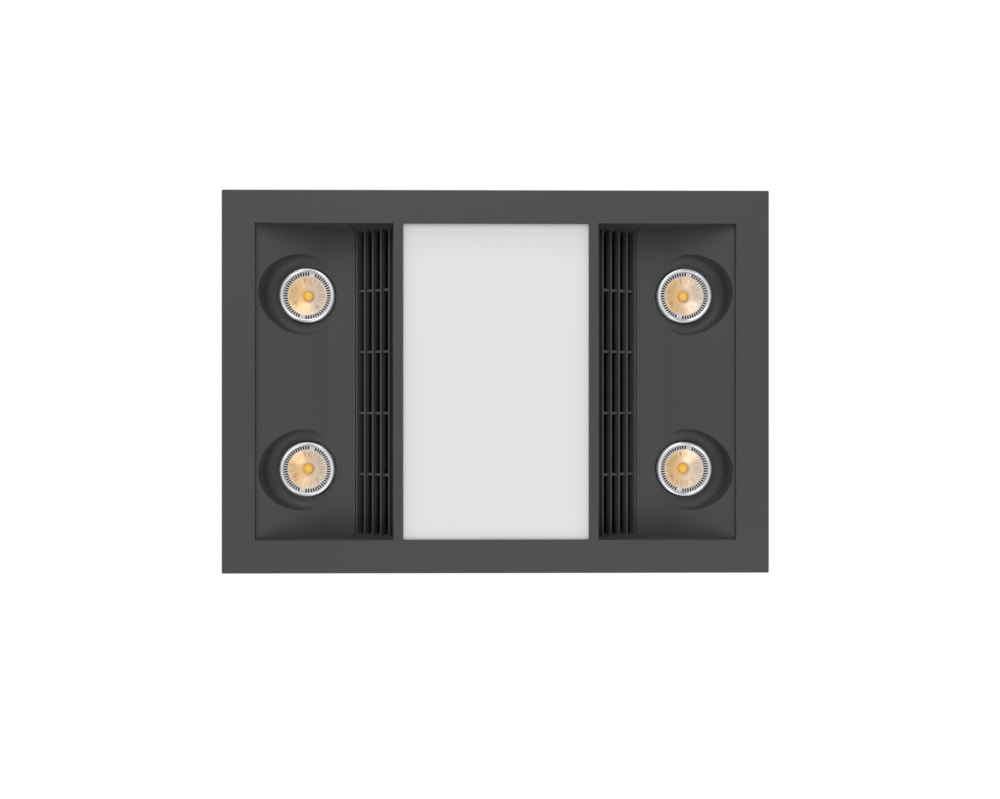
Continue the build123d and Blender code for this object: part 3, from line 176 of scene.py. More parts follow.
def wear_and_highlight_group():
    """Mask of the outer edges, broken up in patches, for edges lightened both by rubbing in handling and as
    painted highlights.
    """
    tree, given, out = new_group(
        "edge_wear_and_highlight", [("Width", NUMBER, 0.0006), ("Strength", NUMBER, 0.5)], [("Mask", NUMBER)]
    )
    rounded = put(tree, "ShaderNodeBevel", {"Radius": given["Width"]}, samples=4)
    plain = put(tree, "ShaderNodeNewGeometry")
    facing = put(tree, "ShaderNodeVectorMath",
                 {0: rounded.outputs[0], 1: plain.outputs["Normal"]}, operation="DOT_PRODUCT")
    edge = stretch(tree, facing.outputs["Value"], 0.995, 0.86)
    place = put(tree, "ShaderNodeTexCoord").outputs["Object"]
    patches = put(tree, "ShaderNodeTexNoise", {"Vector": place, "Scale": 140.0, "Detail": 4.0})
    broken = arithmetic(tree, "MULTIPLY", edge, stretch(tree, patches.outputs["Fac"], 0.35, 0.65))
    tree.links.new(arithmetic(tree, "MULTIPLY", broken, given["Strength"]), out["Mask"])
    return tree


def dust_group():
    """Mask of the dust that settles on what faces up in the roof space."""
    tree, given, out = new_group(
        "roof_dust", [("Amount", NUMBER, 0.3), ("Scale", NUMBER, 30.0)], [("Mask", NUMBER)]
    )
    up = put(tree, "ShaderNodeSeparateXYZ", {0: put(tree, "ShaderNodeNewGeometry").outputs["Normal"]})
    place = put(tree, "ShaderNodeTexCoord").outputs["Object"]
    specks = put(tree, "ShaderNodeTexNoise", {"Vector": place, "Scale": given["Scale"], "Detail": 6.0})
    lying = arithmetic(tree, "MULTIPLY", stretch(tree, up.outputs["Z"], 0.4, 0.95),
                       stretch(tree, specks.outputs["Fac"], 0.3, 0.75))
    tree.links.new(arithmetic(tree, "MULTIPLY", lying, given["Amount"]), out["Mask"])
    return tree


def spangle_group():
    """Zinc crystals on galvanised sheet: patches that differ a little in shade and roughness."""
    tree, given, out = new_group(
        "zinc_spangle", [("Scale", NUMBER, 330.0)], [("Shade", NUMBER), ("Roughness", NUMBER)]
    )
    place = put(tree, "ShaderNodeTexCoord").outputs["Object"]
    bend = put(tree, "ShaderNodeTexNoise", {"Vector": place, "Scale": 190.0, "Detail": 2.0})
    pushed = put(tree, "ShaderNodeVectorMath", {0: bend.outputs["Color"], 1: (0.002, 0.002, 0.002), 2: place},
                 operation="MULTIPLY_ADD")
    cells = put(tree, "ShaderNodeTexVoronoi", {"Vector": pushed.outputs[0], "Scale": given["Scale"]})
    shade = put(tree, "ShaderNodeSeparateColor", {0: cells.outputs["Color"]})
    tree.links.new(stretch(tree, shade.outputs[0], 0.0, 1.0, 0.93, 1.05), out["Shade"])
    tree.links.new(stretch(tree, shade.outputs[1], 0.0, 1.0, 0.38, 0.48), out["Roughness"])
    return tree


groups = {}


def group(tree, name, inputs=None):
    """One of the shared groups, placed in a material with its own values."""
    makers = {"surface_grain": grain_group, "colour_drift": drift_group, "edge_wear_and_highlight": wear_and_highlight_group,
              "roof_dust": dust_group, "zinc_spangle": spangle_group}
    if name not in groups:
        groups[name] = makers[name]()
    placed = tree.nodes.new("ShaderNodeGroup")
    placed.node_tree = groups[name]
    for title, value in (inputs or {}).items():
        placed.inputs[title].default_value = value
    return placed.outputs


# Finishes


def new_finish(name):
    """An empty material, its node tree and its Principled shader."""
    finish = bpy.data.materials.new(name)
    finish.use_nodes = True
    tree = finish.node_tree
    return finish, tree, tree.nodes["Principled BSDF"]


def cover(tree, shader, shade, grain):
    """Links a finish's colour and its grain's roughness and normal to its shader."""
    tree.links.new(shade, shader.inputs["Base Color"])
    tree.links.new(grain["Roughness"], shader.inputs["Roughness"])
    tree.links.new(grain["Normal"], shader.inputs["Normal"])


def moulded(name, colour, roughness, scale, depth, drift=0.06, dust=0.0, wear_and_highlight=0.0, worn_and_lit=1.35, gloss=0.5):
    """Moulded plastic, rubber or enamel with grain, drift, optional dust, and outer edges lightened by
    rubbing and as painted highlights.
    """
    finish, tree, shader = new_finish(name)
    grain = group(tree, "surface_grain", {"Scale": scale, "Depth": depth, "Roughness": roughness})
    shade = group(tree, "colour_drift", {"Colour": (*colour, 1), "Amount": drift})["Colour"]
    # lighter outer edges: partly rubbed from handling, partly painted highlights
    if wear_and_highlight:
        mask = group(tree, "edge_wear_and_highlight", {"Strength": wear_and_highlight})["Mask"]
        shade = blend_colour(tree, mask, shade, (*(min(1, c * worn_and_lit + 0.03) for c in colour), 1))
    if dust:
        mask = group(tree, "roof_dust", {"Amount": dust})["Mask"]
        shade = blend_colour(tree, mask, shade, DUST)
    cover(tree, shader, shade, grain)
    shader.inputs["Specular IOR Level"].default_value = gloss
    return finish


def metal(name, colour, roughness, scale, depth):
    """Bare metal with a fine tooled or drawn surface."""
    finish, tree, shader = new_finish(name)
    grain = group(tree, "surface_grain", {"Scale": scale, "Depth": depth, "Roughness": roughness,
                                          "Drift": 0.2})
    shade = group(tree, "colour_drift", {"Colour": (*colour, 1), "Amount": 0.1, "Scale": 40.0})["Colour"]
    cover(tree, shader, shade, grain)
    shader.inputs["Metallic"].default_value = 1.0
    return finish


def galvanised(name, colour):
    """Zinc-coated sheet steel with a faint spangle and dust where it faces up."""
    finish, tree, shader = new_finish(name)
    spangle = group(tree, "zinc_spangle")
    shade = group(tree, "colour_drift", {"Colour": (*colour, 1), "Amount": 0.12, "Scale": 9.0})["Colour"]
    shaded = put(tree, "ShaderNodeVectorMath", {0: shade, "Scale": spangle["Shade"]}, operation="SCALE")
    mask = group(tree, "roof_dust", {"Amount": 0.25, "Scale": 22.0})["Mask"]
    shade = blend_colour(tree, mask, shaded.outputs[0], (0.45, 0.43, 0.40, 1))
    tree.links.new(shade, shader.inputs["Base Color"])
    tree.links.new(spangle["Roughness"], shader.inputs["Roughness"])
    shader.inputs["Metallic"].default_value = 0.85
    return finish


def opal(name, colour):
    """Opal panel: a satin face with a very fine stipple, and painted shade that makes it a little greyer
    towards its rim.
    """
    finish, tree, shader = new_finish(name)
    grain = group(tree, "surface_grain", {"Scale": 2200.0, "Depth": 0.04, "Roughness": 0.42, "Drift": 0.03})
    shade = group(tree, "colour_drift", {"Colour": (*colour, 1), "Amount": 0.02, "Scale": 7.0})["Colour"]
    place = put(tree, "ShaderNodeSeparateXYZ", {0: put(tree, "ShaderNodeTexCoord").outputs["Object"]}).outputs
    # painted shade along the rim, where the frame's edge shades the panel: where it begins and ends, in
    # metres from the middle, and how dark it gets
    sides = stretch(tree, arithmetic(tree, "ABSOLUTE", place["X"]), 0.068, 0.083, 0.0, 0.045)
    ends = arithmetic(tree, "ADD", stretch(tree, place["Y"], -0.108, -0.141, 0.0, 0.12),
                      stretch(tree, place["Y"], 0.130, 0.143, 0.0, 0.04))
    # painted shade: the panel's colour blended towards black by that amount
    shade = blend_colour(tree, arithmetic(tree, "ADD", sides, ends), shade, (0.0, 0.0, 0.0, 1))
    cover(tree, shader, shade, grain)
    return finish


def round_the_lamp(tree):
    """Share of the radius, and the cosine and sine of the angle, from the piece's own polar map."""
    polar = put(tree, "ShaderNodeSeparateXYZ", {0: put(tree, "ShaderNodeUVMap", uv_map="polar").outputs[0]})
    angle = arithmetic(tree, "MULTIPLY", polar.outputs["X"], 2 * pi)
    return polar.outputs["Y"], arithmetic(tree, "COSINE", angle), arithmetic(tree, "SINE", angle)


def lamp_gold(name, colour, pale):
    """Fluted gold of the lamps, with painted reflections: paler to one side, fine dark streak lines and
    bright glints near its rim, and a painted shadow round the centre.
    """
    finish, tree, shader = new_finish(name)
    radius, across, along = round_the_lamp(tree)
    # painted reflection: the gold turns paler towards one side of the lamp
    shade = blend_colour(tree, stretch(tree, across, -0.7, 0.8), (*colour, 1), (*pale, 1))
    short = arithmetic(tree, "MULTIPLY", radius, 0.12)
    # painted reflections of the flutes: fine dark lines along the rays, in a band near the rim
    rays = put(tree, "ShaderNodeCombineXYZ", {0: across, 1: along, 2: short})
    reflection_streaks = put(tree, "ShaderNodeTexNoise", {"Vector": rays.outputs[0], "Scale": 24.0, "Detail": 1.0})
    band = arithmetic(tree, "MULTIPLY", stretch(tree, radius, 0.42, 0.62), stretch(tree, radius, 0.8, 0.72))
    dark = arithmetic(tree, "MULTIPLY", stretch(tree, reflection_streaks.outputs["Fac"], 0.5, 0.62, 0.0, 0.75), band)
    shade = blend_colour(tree, dark, shade, (0.36, 0.20, 0.09, 1))
    # painted glints: small bright specks near the rim
    place = put(tree, "ShaderNodeTexCoord").outputs["Object"]
    glint_noise = put(tree, "ShaderNodeTexNoise", {"Vector": place, "Scale": 1500.0, "Detail": 1.0})
    painted_glints = arithmetic(tree, "MULTIPLY", stretch(tree, glint_noise.outputs["Fac"], 0.56, 0.66, 0.0, 0.7),
                             stretch(tree, radius, 0.5, 0.75))
    shade = blend_colour(tree, painted_glints, shade, (0.95, 0.88, 0.78, 1))
    # painted shadow round the yellow centre, darker to one side
    shadow = arithmetic(tree, "MULTIPLY", stretch(tree, radius, 0.33, 0.24),
                        stretch(tree, across, -0.3, 0.9, 0.05, 0.5))
    shade = blend_colour(tree, shadow, shade, (0.30, 0.23, 0.17, 1))
    tree.links.new(shade, shader.inputs["Base Color"])
    shader.inputs["Roughness"].default_value = 0.3
    shader.inputs["Metallic"].default_value = 0.3
    return finish


def turned_ring(name, colour):
    """Bright turned bezel, with a soft dark reflection painted on its two sides."""
    finish, tree, shader = new_finish(name)
    _, across, along = round_the_lamp(tree)
    # angle across the lamp at which the painted dark reflection lies
    reflection = radians(-80)
    facing = arithmetic(tree, "ADD", arithmetic(tree, "MULTIPLY", across, cos(reflection)),
                        arithmetic(tree, "MULTIPLY", along, sin(reflection)))
    # painted reflection: the bezel darkens towards that angle, on both sides
    dark = stretch(tree, arithmetic(tree, "ABSOLUTE", facing), 0.93, 1.0, 0.0, 0.5)
    shade = blend_colour(tree, dark, (*colour, 1), (0.24, 0.25, 0.31, 1))
    grain = group(tree, "surface_grain", {"Scale": 900.0, "Depth": 0.02, "Roughness": 0.3, "Drift": 0.1})
    cover(tree, shader, shade, grain)
    shader.inputs["Metallic"].default_value = 0.7
    return finish


def glow(name, colour, rim):
    """The lamp's yellow centre, deeper towards its rim."""
    finish, tree, shader = new_finish(name)
    radius, _, _ = round_the_lamp(tree)
    shade = blend_colour(tree, stretch(tree, radius, 0.35, 1.0), (*colour, 1), (*rim, 1))
    tree.links.new(shade, shader.inputs["Base Color"])
    shader.inputs["Roughness"].default_value = 0.35
    return finish


# Pieces


def finish_piece(name, bm, finishes, body, nodes, angle=SHARP):
    """Makes an object from a bmesh, smooth but for its sharp edges, and rides it on its body."""
    for face in bm.faces:
        face.smooth = True
    for edge in bm.edges:
        edge.smooth = len(edge.link_faces) == 2 and edge.calc_face_angle(pi) < radians(angle)
    mesh = bpy.data.meshes.new(name)
    bm.to_mesh(mesh)
    bm.free()
    for finish in finishes:
        mesh.materials.append(finish)
    piece = bpy.data.objects.new(name, mesh)
    bpy.context.scene.collection.objects.link(piece)
    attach(piece, body)
    if nodes:
        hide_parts(*nodes)
    return piece


def round_edges(piece, width):
    """Fine rounding of every sharp edge, so that edges catch the light."""
    bevel = piece.modifiers.new("edges", "BEVEL")
    bevel.width = width
    bevel.segments = 2
    bevel.limit_method = "ANGLE"
    bevel.angle_limit = radians(SHARP)
    bevel.miter_outer = "MITER_ARC"
    bevel.use_clamp_overlap = True
    flat = piece.modifiers.new("flat_faces", "WEIGHTED_NORMAL")
    flat.keep_sharp = True
    flat.weight = 100


def body_of_node(node):
    """The body that a CAD node belongs to, and its material slot."""
    body = next(b for b, members in frame["record"]["behaviour"]["bodies"].items() if node in members)
    slot = next(s["material_slot"] for s in frame["record"]["subparts"] if s["node"] == node)
    return body, slot


def welded(node):
    """A CAD node's mesh as one skin."""
    bm = bmesh.new()
    bm.from_mesh(frame["nodes"][node].data)
    bmesh.ops.remove_doubles(bm, verts=bm.verts, dist=WELD)
    return bm


def dress(node, finish, rounding=0.0):
    """A CAD node's own shape with rounded edges and a finish."""
    body, slot = body_of_node(node)
    piece = finish_piece(f"{node}_skin", welded(node), [finish], body, [node])
    if rounding:
        round_edges(piece, rounding)


def islands(node):
    """The separate solids of a CAD node, each as its corner points."""
    bm = welded(node)
    left = set(bm.verts)
    found = []
    while left:
        reached = [left.pop()]
        for vert in reached:
            for edge in vert.link_edges:
                other = edge.other_vert(vert)
                if other in left:
                    left.remove(other)
                    reached.append(other)
        found.append([v.co.copy() for v in reached])
    bm.free()
    return sorted(found, key=lambda points: tuple(round(c, 5) for c in min(points, key=tuple)))


def spin_profile(bm, points, centre, steps, start=0.0):
    """A closed skin turned about a vertical axis from a profile of radius and height."""
    verts = [bm.verts.new((centre.x + r * cos(start), centre.y + r * sin(start), z)) for r, z in points]
    edges = [bm.edges.new(pair) for pair in zip(verts, verts[1:])]
    bmesh.ops.spin(bm, geom=verts + edges, cent=centre, axis=(0, 0, 1), angle=2 * pi, steps=steps,
                   use_merge=True)
    bmesh.ops.remove_doubles(bm, verts=bm.verts, dist=WELD)
    bmesh.ops.recalc_face_normals(bm, faces=bm.faces)


def of_kind(geometry, kind):
    """The corners, edges or faces among what an operator gave back."""
    return [item for item in geometry if isinstance(item, kind)]


def wire_start(bm, radius, place, heading, sides=10):
    """Cut end of a round wire, which runs and bends then carry on; returns its face."""
    turn = Vector(heading).to_track_quat("Z", "Y").to_matrix().to_4x4()
    made = bmesh.ops.create_circle(bm, cap_ends=True, radius=radius, segments=sides,
                                   matrix=Matrix.Translation(place) @ turn)
    return made["verts"][0].link_faces[0]


def wire_run(bm, end, way):
    """Carries a wire on in a straight line; returns its new end."""
    made = bmesh.ops.extrude_face_region(bm, geom=[end, *end.edges, *end.verts])["geom"]
    bmesh.ops.translate(bm, verts=of_kind(made, bmesh.types.BMVert), vec=way)
    return of_kind(made, bmesh.types.BMFace)[0]


def wire_bend(bm, end, centre, axis, angle, steps, rise=0.0):
    """Bends or coils a wire about an axis and moves it along by its rise; returns its new end."""
    made = bmesh.ops.spin(bm, geom=[end, *end.edges, *end.verts], cent=centre, axis=axis, angle=angle,
                          steps=steps, dvec=Vector(axis).normalized() * rise / steps)
    return of_kind(made["geom_last"], bmesh.types.BMFace)[0]


def polar_map(bm, centre, reach):
    """Stores each corner's angle, as a share of a turn, and its radius, as a share of the reach."""
    layer = bm.loops.layers.uv.new("polar")
    for face in bm.faces:
        middle = face.calc_center_median() - centre
        around = Vector((middle.x, middle.y)).angle_signed(Vector((1, 0)), 0) / (2 * pi)
        for loop in face.loops:
            out = loop.vert.co - centre
            flat = Vector((out.x, out.y))
            angle = flat.angle_signed(Vector((1, 0)), 0) / (2 * pi) if flat.length > WELD else around
            angle += round(around - angle)
            loop[layer].uv = (angle, flat.length / reach)


def finish_library():
    """Every finish, made once from the panel's colours."""
    if "library" not in groups:
        tint = bpy.context.scene.heater_finish
        groups["library"] = {
            "charcoal": moulded("charcoal_satin", tint.fascia, 0.5, 2600.0, 0.10, 0.03, wear_and_highlight=0.12,
                                gloss=0.35),
            "opal": opal("opal_panel", tint.panel),
            "bezel": turned_ring("bright_bezel", tint.bezel),
            "gold": lamp_gold("lamp_gold", tint.lamp, tint.lamp_reflection_pale),
            # near black: painted shade standing for the depth of the slots
            "slot": moulded("lamp_slots_painted_shade", (0.006, 0.006, 0.008), 0.35, 900.0, 0.05),
            "white_lens": moulded("lamp_white_land", (0.72, 0.70, 0.68), 0.25, 900.0, 0.03),
            "glow": glow("lamp_centre", tint.centre, (0.80, 0.38, 0.03)),
            "ceramic": moulded("unglazed_ceramic", (0.74, 0.70, 0.62), 0.75, 1500.0, 0.3, 0.12),
            "pan": metal("mill_aluminium", (0.70, 0.71, 0.72), 0.38, 300.0, 0.04),
            "board": moulded("white_circuit_board", (0.80, 0.81, 0.79), 0.35, 900.0, 0.03),
            "screw": metal("plated_screw", (0.56, 0.56, 0.55), 0.3, 700.0, 0.04),
            "wire": metal("drawn_spring_wire", (0.42, 0.42, 0.44), 0.32, 900.0, 0.05),
            "galvanised": galvanised("galvanised_sheet", tint.housing),
            "black": moulded("moulded_black", (0.035, 0.035, 0.036), 0.48, 1600.0, 0.15, 0.1, dust=0.12,
                             wear_and_highlight=0.3),
            "white": moulded("moulded_white", (0.74, 0.73, 0.71), 0.45, 1600.0, 0.12, 0.06, dust=0.25),
            "enamel": moulded("motor_enamel", (0.055, 0.056, 0.06), 0.3, 1100.0, 0.1, 0.1, dust=0.15,
                              wear_and_highlight=0.5, worn_and_lit=6.0),
            "rubber": moulded("soft_rubber", (0.03, 0.03, 0.03), 0.8, 1500.0, 0.25, 0.1),
            "brass": metal("turned_brass", (0.72, 0.52, 0.22), 0.28, 900.0, 0.06),
            "grey": moulded("moulded_grey", (0.56, 0.56, 0.54), 0.5, 1500.0, 0.15, 0.06, dust=0.3),
            "nylon": moulded("natural_nylon", (0.74, 0.72, 0.64), 0.4, 1200.0, 0.08, 0.06),
            "ivory": moulded("ivory_case", (0.72, 0.68, 0.58), 0.35, 1200.0, 0.06, 0.06, dust=0.25),
        }
    return groups["library"]


def dress_all(rows):
    """Dresses each node with the finish named beside it, its edges rounded by so many millimetres."""
    look = finish_library()
    for node, finish, rounding in rows:
        dress(node, look[finish], rounding * MM)


# Sizes and colours that a user may change


def colour_property(name, description, value):
    """A colour that a user may change."""
    return bpy.props.FloatVectorProperty(name=name, description=description, subtype="COLOR", size=3,
                                         min=0.0, max=1.0, default=value)


def length_property(name, description, value, **limits):
    """A length that a user may change, in metres."""
    return bpy.props.FloatProperty(name=name, description=description, unit="LENGTH", subtype="DISTANCE",
                                   default=value, **limits)


def level_property(name, description, value):
    """A light's power or level that a user may change."""
    return bpy.props.FloatProperty(name=name, description=description, min=0.0, default=value)


class HeaterFinish(bpy.types.PropertyGroup):
    """Colours of the heater's finishes."""

    fascia: colour_property("Fascia", "Satin plastic of frame, trays and grilles", (0.056, 0.056, 0.057))
    panel: colour_property("Light panel", "Opal plastic of the light panel", (0.77, 0.77, 0.785))
    bezel: colour_property("Lamp bezel", "Bright ring round each lamp", (0.86, 0.86, 0.89))
    lamp: colour_property("Lamp gold", "Gold of the fluted reflectors", (0.90, 0.59, 0.29))
    # painted reflection: the colour of the gold dish's paler side
    lamp_reflection_pale: colour_property("Lamp pale gold", "Paler side of the fluted reflectors", (0.83, 0.68, 0.53))
    centre: colour_property("Lamp centre", "Yellow centre of each lamp", (1.0, 0.64, 0.11))
    housing: colour_property("Housing", "Galvanised steel of the housing", (0.60, 0.61, 0.62))


class HeaterSizes(bpy.types.PropertyGroup):
    """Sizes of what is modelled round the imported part."""

    edge: length_property("Moulded edge", "Rounding of the fascia's edges", 0.35 * MM, min=0.0)
    fold: length_property("Sheet edge", "Rounding of sheet-metal edges", 0.3 * MM, min=0.0)
    # the slots' near-black finish is painted shade
    lamp_slots: bpy.props.IntProperty(name="Lamp slots", description="Dark slots and flutes round each lamp",
                                      default=54, min=12)


class HeaterStudio(bpy.types.PropertyGroup):
    """Camera and light of the studio."""

    camera_below: length_property("Camera distance", "From the fascia's front", 0.577)
    camera_aside: length_property("Camera aside", "Along the fascia's long side", -0.0004)
    camera_across: length_property("Camera across", "Towards the duct side", 0.0163)
    camera_turn: bpy.props.FloatProperty(name="Camera turn", description="Turn towards the right lamps",
                                         subtype="ANGLE", default=0.0069)
    lens: bpy.props.FloatProperty(name="Lens", description="Focal length on a 36 mm sensor",
                                  subtype="DISTANCE_CAMERA", default=22.77)
    floor_height: length_property("Floor", "Height of the studio floor", -3.2)
    key: level_property("Key light", "Power of the key light in watts", 31.0)
    low: level_property("Low light", "Power of the light opposite the key in watts", 15.0)
    fill: level_property("Top light", "Power of the light over the housing in watts", 26.0)
    surroundings: level_property("Surroundings", "Light from all around", 0.76)


# Operators


class HEATER_OT_fascia(bpy.types.Operator):
    """Frame, lamp trays and air grilles in satin charcoal"""

    bl_idname = "heater.fascia"
    bl_label = "Fascia"

    def execute(self, context):
        look = finish_library()
        edge = context.scene.heater_sizes.edge
        dress("fascia_frame", look["charcoal"], edge)
        for side in ("left", "right"):
            dress(f"lamp_tray_{side}", look["charcoal"], edge)
            self.grille(f"air_grille_{side}", look["charcoal"], edge / 3)
        return {"FINISHED"}

    @staticmethod
    def grille(node, finish, edge):
        """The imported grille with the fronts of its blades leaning, so that each shows a sloped face."""
        low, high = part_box(node)
        side = 1 if low.x > 0 else -1
        first = max(abs(low.x), abs(high.x)) - HALF_BLADE
        bm = welded(node)
        for bend in (LEAN_DEPTH, FIRST_LEAN_DEPTH):
            bmesh.ops.bisect_plane(bm, geom=[*bm.verts, *bm.edges, *bm.faces], dist=WELD,
                                   plane_co=(side * first, 0, FIRST_TIP + bend),
                                   plane_no=(-side * BLADE_RISE / BLADE_PITCH, 0, 1))
        for vert in bm.verts:
            across = (first - abs(vert.co.x)) / BLADE_PITCH
            blade = round(across)
            depth = vert.co.z - (FIRST_TIP - across * BLADE_RISE)
            on_blade = 0 <= blade < BLADE_COUNT and abs(across - blade) < 0.11
            if on_blade and depth > -0.3 * MM and abs(vert.co.y) < GRILLE_LENGTH / 2 + 0.2 * MM:
                reach = LEAN_DEPTH if blade else FIRST_LEAN_DEPTH
                vert.co.x -= side * BLADE_LEAN * min(max(depth, 0), reach)
        # a rail beside the mullion and the thin wall that carries it: size and place, in millimetres
        for wide, tall, across, up in ((6.4, 1.6, 97.2, 12.2), (0.8, 10.6, 94.4, 7.7)):
            size = Matrix.Diagonal((wide * MM, GRILLE_LENGTH, tall * MM, 1))
            place = Matrix.Translation((side * across * MM, 0, up * MM))
            bmesh.ops.create_cube(bm, size=1.0, matrix=place @ size)
        body, slot = body_of_node(node)
        round_edges(finish_piece(f"{node}_louvres", bm, [finish], body, [node]), edge)


class HEATER_OT_panel(bpy.types.Operator):
    """Opal light panel, its pan and its boards"""

    bl_idname = "heater.panel"
    bl_label = "Light panel"

    def execute(self, context):
        dress_all((("light_diffuser", "opal", 0.3), ("light_pan", "pan", 0.3), ("led_strips", "board", 0)))
        return {"FINISHED"}


class HEATER_OT_lamps(bpy.types.Operator):
    """Bezels, fluted reflectors, yellow centres and holders of the four lamps"""

    bl_idname = "heater.lamps"
    bl_label = "Lamps"

    def execute(self, context):
        look = finish_library()
        for number in LAMPS:
            self.bezel(number, look)
            self.reflector(number, look, context.scene.heater_sizes.lamp_slots)
            self.centre(number, look)
            dress(f"lamp_holder_{number}", look["ceramic"], 0.4 * MM)
        return {"FINISHED"}

    @staticmethod
    def middle(node):
        """Middle, low corner and high corner of a node's box."""
        low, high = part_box(node)
        return (low + high) / 2, low, high

    def bezel(self, number, look):
        """A rolled bright ring with a skirt behind it."""
        node = f"lamp_ring_{number}"
        middle, low, high = self.middle(node)
        outer = (high.x - low.x) / 2
        wall = 1.0 * MM
        # distance from the outer edge and depth behind the front, in millimetres
        front = ((3.5, 2.0), (3.5, 1.0), (3.3, 0.5), (2.7, 0.12), (1.9, 0.0), (1.1, 0.12), (0.4, 0.55),
                 (0.0, 1.3))
        profile = [(outer - inset * MM, low.z + depth * MM) for inset, depth in front]
        profile += [(outer, high.z), (outer - wall, high.z), (outer - wall, profile[0][1]), profile[0]]
        bm = bmesh.new()
        centre = Vector((middle.x, middle.y, 0))
        spin_profile(bm, profile, centre, 96)
        polar_map(bm, centre, outer)
        body, slot = body_of_node(node)
        finish_piece(f"lamp_bezel_{number}", bm, [look["bezel"]], body, [node])

    def reflector(self, number, look, slots):
        """The lamp body: a white land with slots in near-black painted shade, a fluted gold dish, and the
        neck behind.
        """
        node = f"lamp_reflector_{number}"
        middle, low, high = self.middle(node)
        centre = Vector((middle.x, middle.y, low.z))
        rim = (high.x - low.x) / 2
        land = rim - 2.2 * MM
        # radius and depth behind the rim, in millimetres, from the neck outwards and back over the dish
        back, side = (high.z - low.z) / MM, rim / MM
        profile = (
            (0.0, back), (9.5, back), (9.5, 22.0), (14.4, 18.0), (18.6, 12.6), (22.0, 7.2), (side, 1.8),
            (side, 0.0), (land / MM, 0.0), (land / MM, LAND_DEPTH / MM), (SLOT_OUTER / MM, LAND_DEPTH / MM),
            (SLOT_INNER / MM, LAND_DEPTH / MM), (DISH_RADIUS / MM, 0.95), (16.4, 1.65), (14.2, 2.5),
            (11.8, 3.4), (9.2, 4.25), (DISH_FLOOR / MM, DISH_DEPTH / MM), (0.0, DISH_DEPTH / MM),
        )
        bm = bmesh.new()
        spin_profile(bm, [(r * MM, low.z + depth * MM) for r, depth in profile], centre, 2 * slots,
                     radians(FIRST_SLOT - 360 / slots / 4))
        for face in bm.faces:
            reach = sum((v.co - centre).xy.length for v in face.verts) / len(face.verts)
            depth = face.calc_center_median().z - low.z
            if depth < DISH_DEPTH + 0.1 * MM and reach < land:
                face.material_index = 1 if reach > DISH_RADIUS + 0.1 * MM else 2
        self.flute(bm, centre, slots)
        self.slot_ring(bm, centre, slots)
        polar_map(bm, centre, land)
        body, slot = body_of_node(node)
        finish_piece(f"lamp_dish_{number}", bm, [look["pan"], look["white_lens"], look["gold"], look["slot"]],
                     body, [node], 50.0)

    @staticmethod
    def slot_place(out, slots):
        """Number of the slot at a place round the lamp, with its fraction."""
        return (degrees(atan2(out.y, out.x)) - FIRST_SLOT) * slots / 360

    def flute(self, bm, centre, slots):
        """Raises every other ray of the dish into a flute's ridge, and widens the places of the slots."""
        for vert in bm.verts:
            out = (vert.co - centre).xy
            depth = vert.co.z - centre.z
            place = self.slot_place(out, slots)
            if 7 * MM < out.length < 17.5 * MM and depth < DISH_DEPTH:
                if round(place * 2 - 0.5) % 2:
                    vert.co.z -= 0.32 * MM * sin(pi * (out.length - DISH_FLOOR) / (11.0 * MM))
            elif SLOT_INNER - 0.2 * MM < out.length < SLOT_OUTER + 0.1 * MM and depth < 1 * MM:
                wider = radians(0.07 * 360 / slots) * (1 if place > round(place) else -1)
                bmesh.ops.rotate(bm, verts=[vert], cent=centre, matrix=Matrix.Rotation(wider, 3, "Z"))

    def slot_ring(self, bm, centre, slots):
        """Sinks the slots of the land, with two short breaks in the ring; their near-black finish is painted
        shade for their depth.
        """
        chosen = []
        breaks = (1, 2, slots // 2 + 1, slots // 2 + 2)
        for face in bm.faces:
            out = (face.calc_center_median() - centre).xy
            place = self.slot_place(out, slots)
            on_slot = abs(place - round(place)) < 0.1 and round(place) % slots not in breaks
            on_land = SLOT_INNER + 0.1 * MM < out.length < SLOT_OUTER - 0.1 * MM
            if face.material_index == 1 and on_land and on_slot:
                chosen.append(face)
        bmesh.ops.inset_individual(bm, faces=chosen, thickness=0.04 * MM, use_even_offset=True)
        sunk = bmesh.ops.extrude_discrete_faces(bm, faces=chosen)["faces"]
        bmesh.ops.translate(bm, verts=list({v for face in sunk for v in face.verts}), vec=(0, 0, 1.1 * MM))
        for face in sunk:
            for wall in {f for edge in face.edges for f in edge.link_faces}:
                wall.material_index = 3

    def centre(self, number, look):
        """Low round dome in the middle of the dish."""
        node = f"lamp_capsule_{number}"
        middle, low, high = self.middle(node)
        radius = (high.x - low.x) / 2
        bm = bmesh.new()
        profile = [(0, high.z), (radius, high.z)]
        profile += [(radius - inset * MM, low.z + depth * MM)
                    for inset, depth in ((0.0, 1.1), (0.3, 0.6), (1.1, 0.2), (2.6, 0.0))]
        profile.append((0, low.z))
        centre = Vector((middle.x, middle.y, 0))
        spin_profile(bm, profile, centre, 48)
        polar_map(bm, centre, radius)
        body, slot = body_of_node(node)
        finish_piece(f"lamp_centre_{number}", bm, [look["glow"]], body, [node])


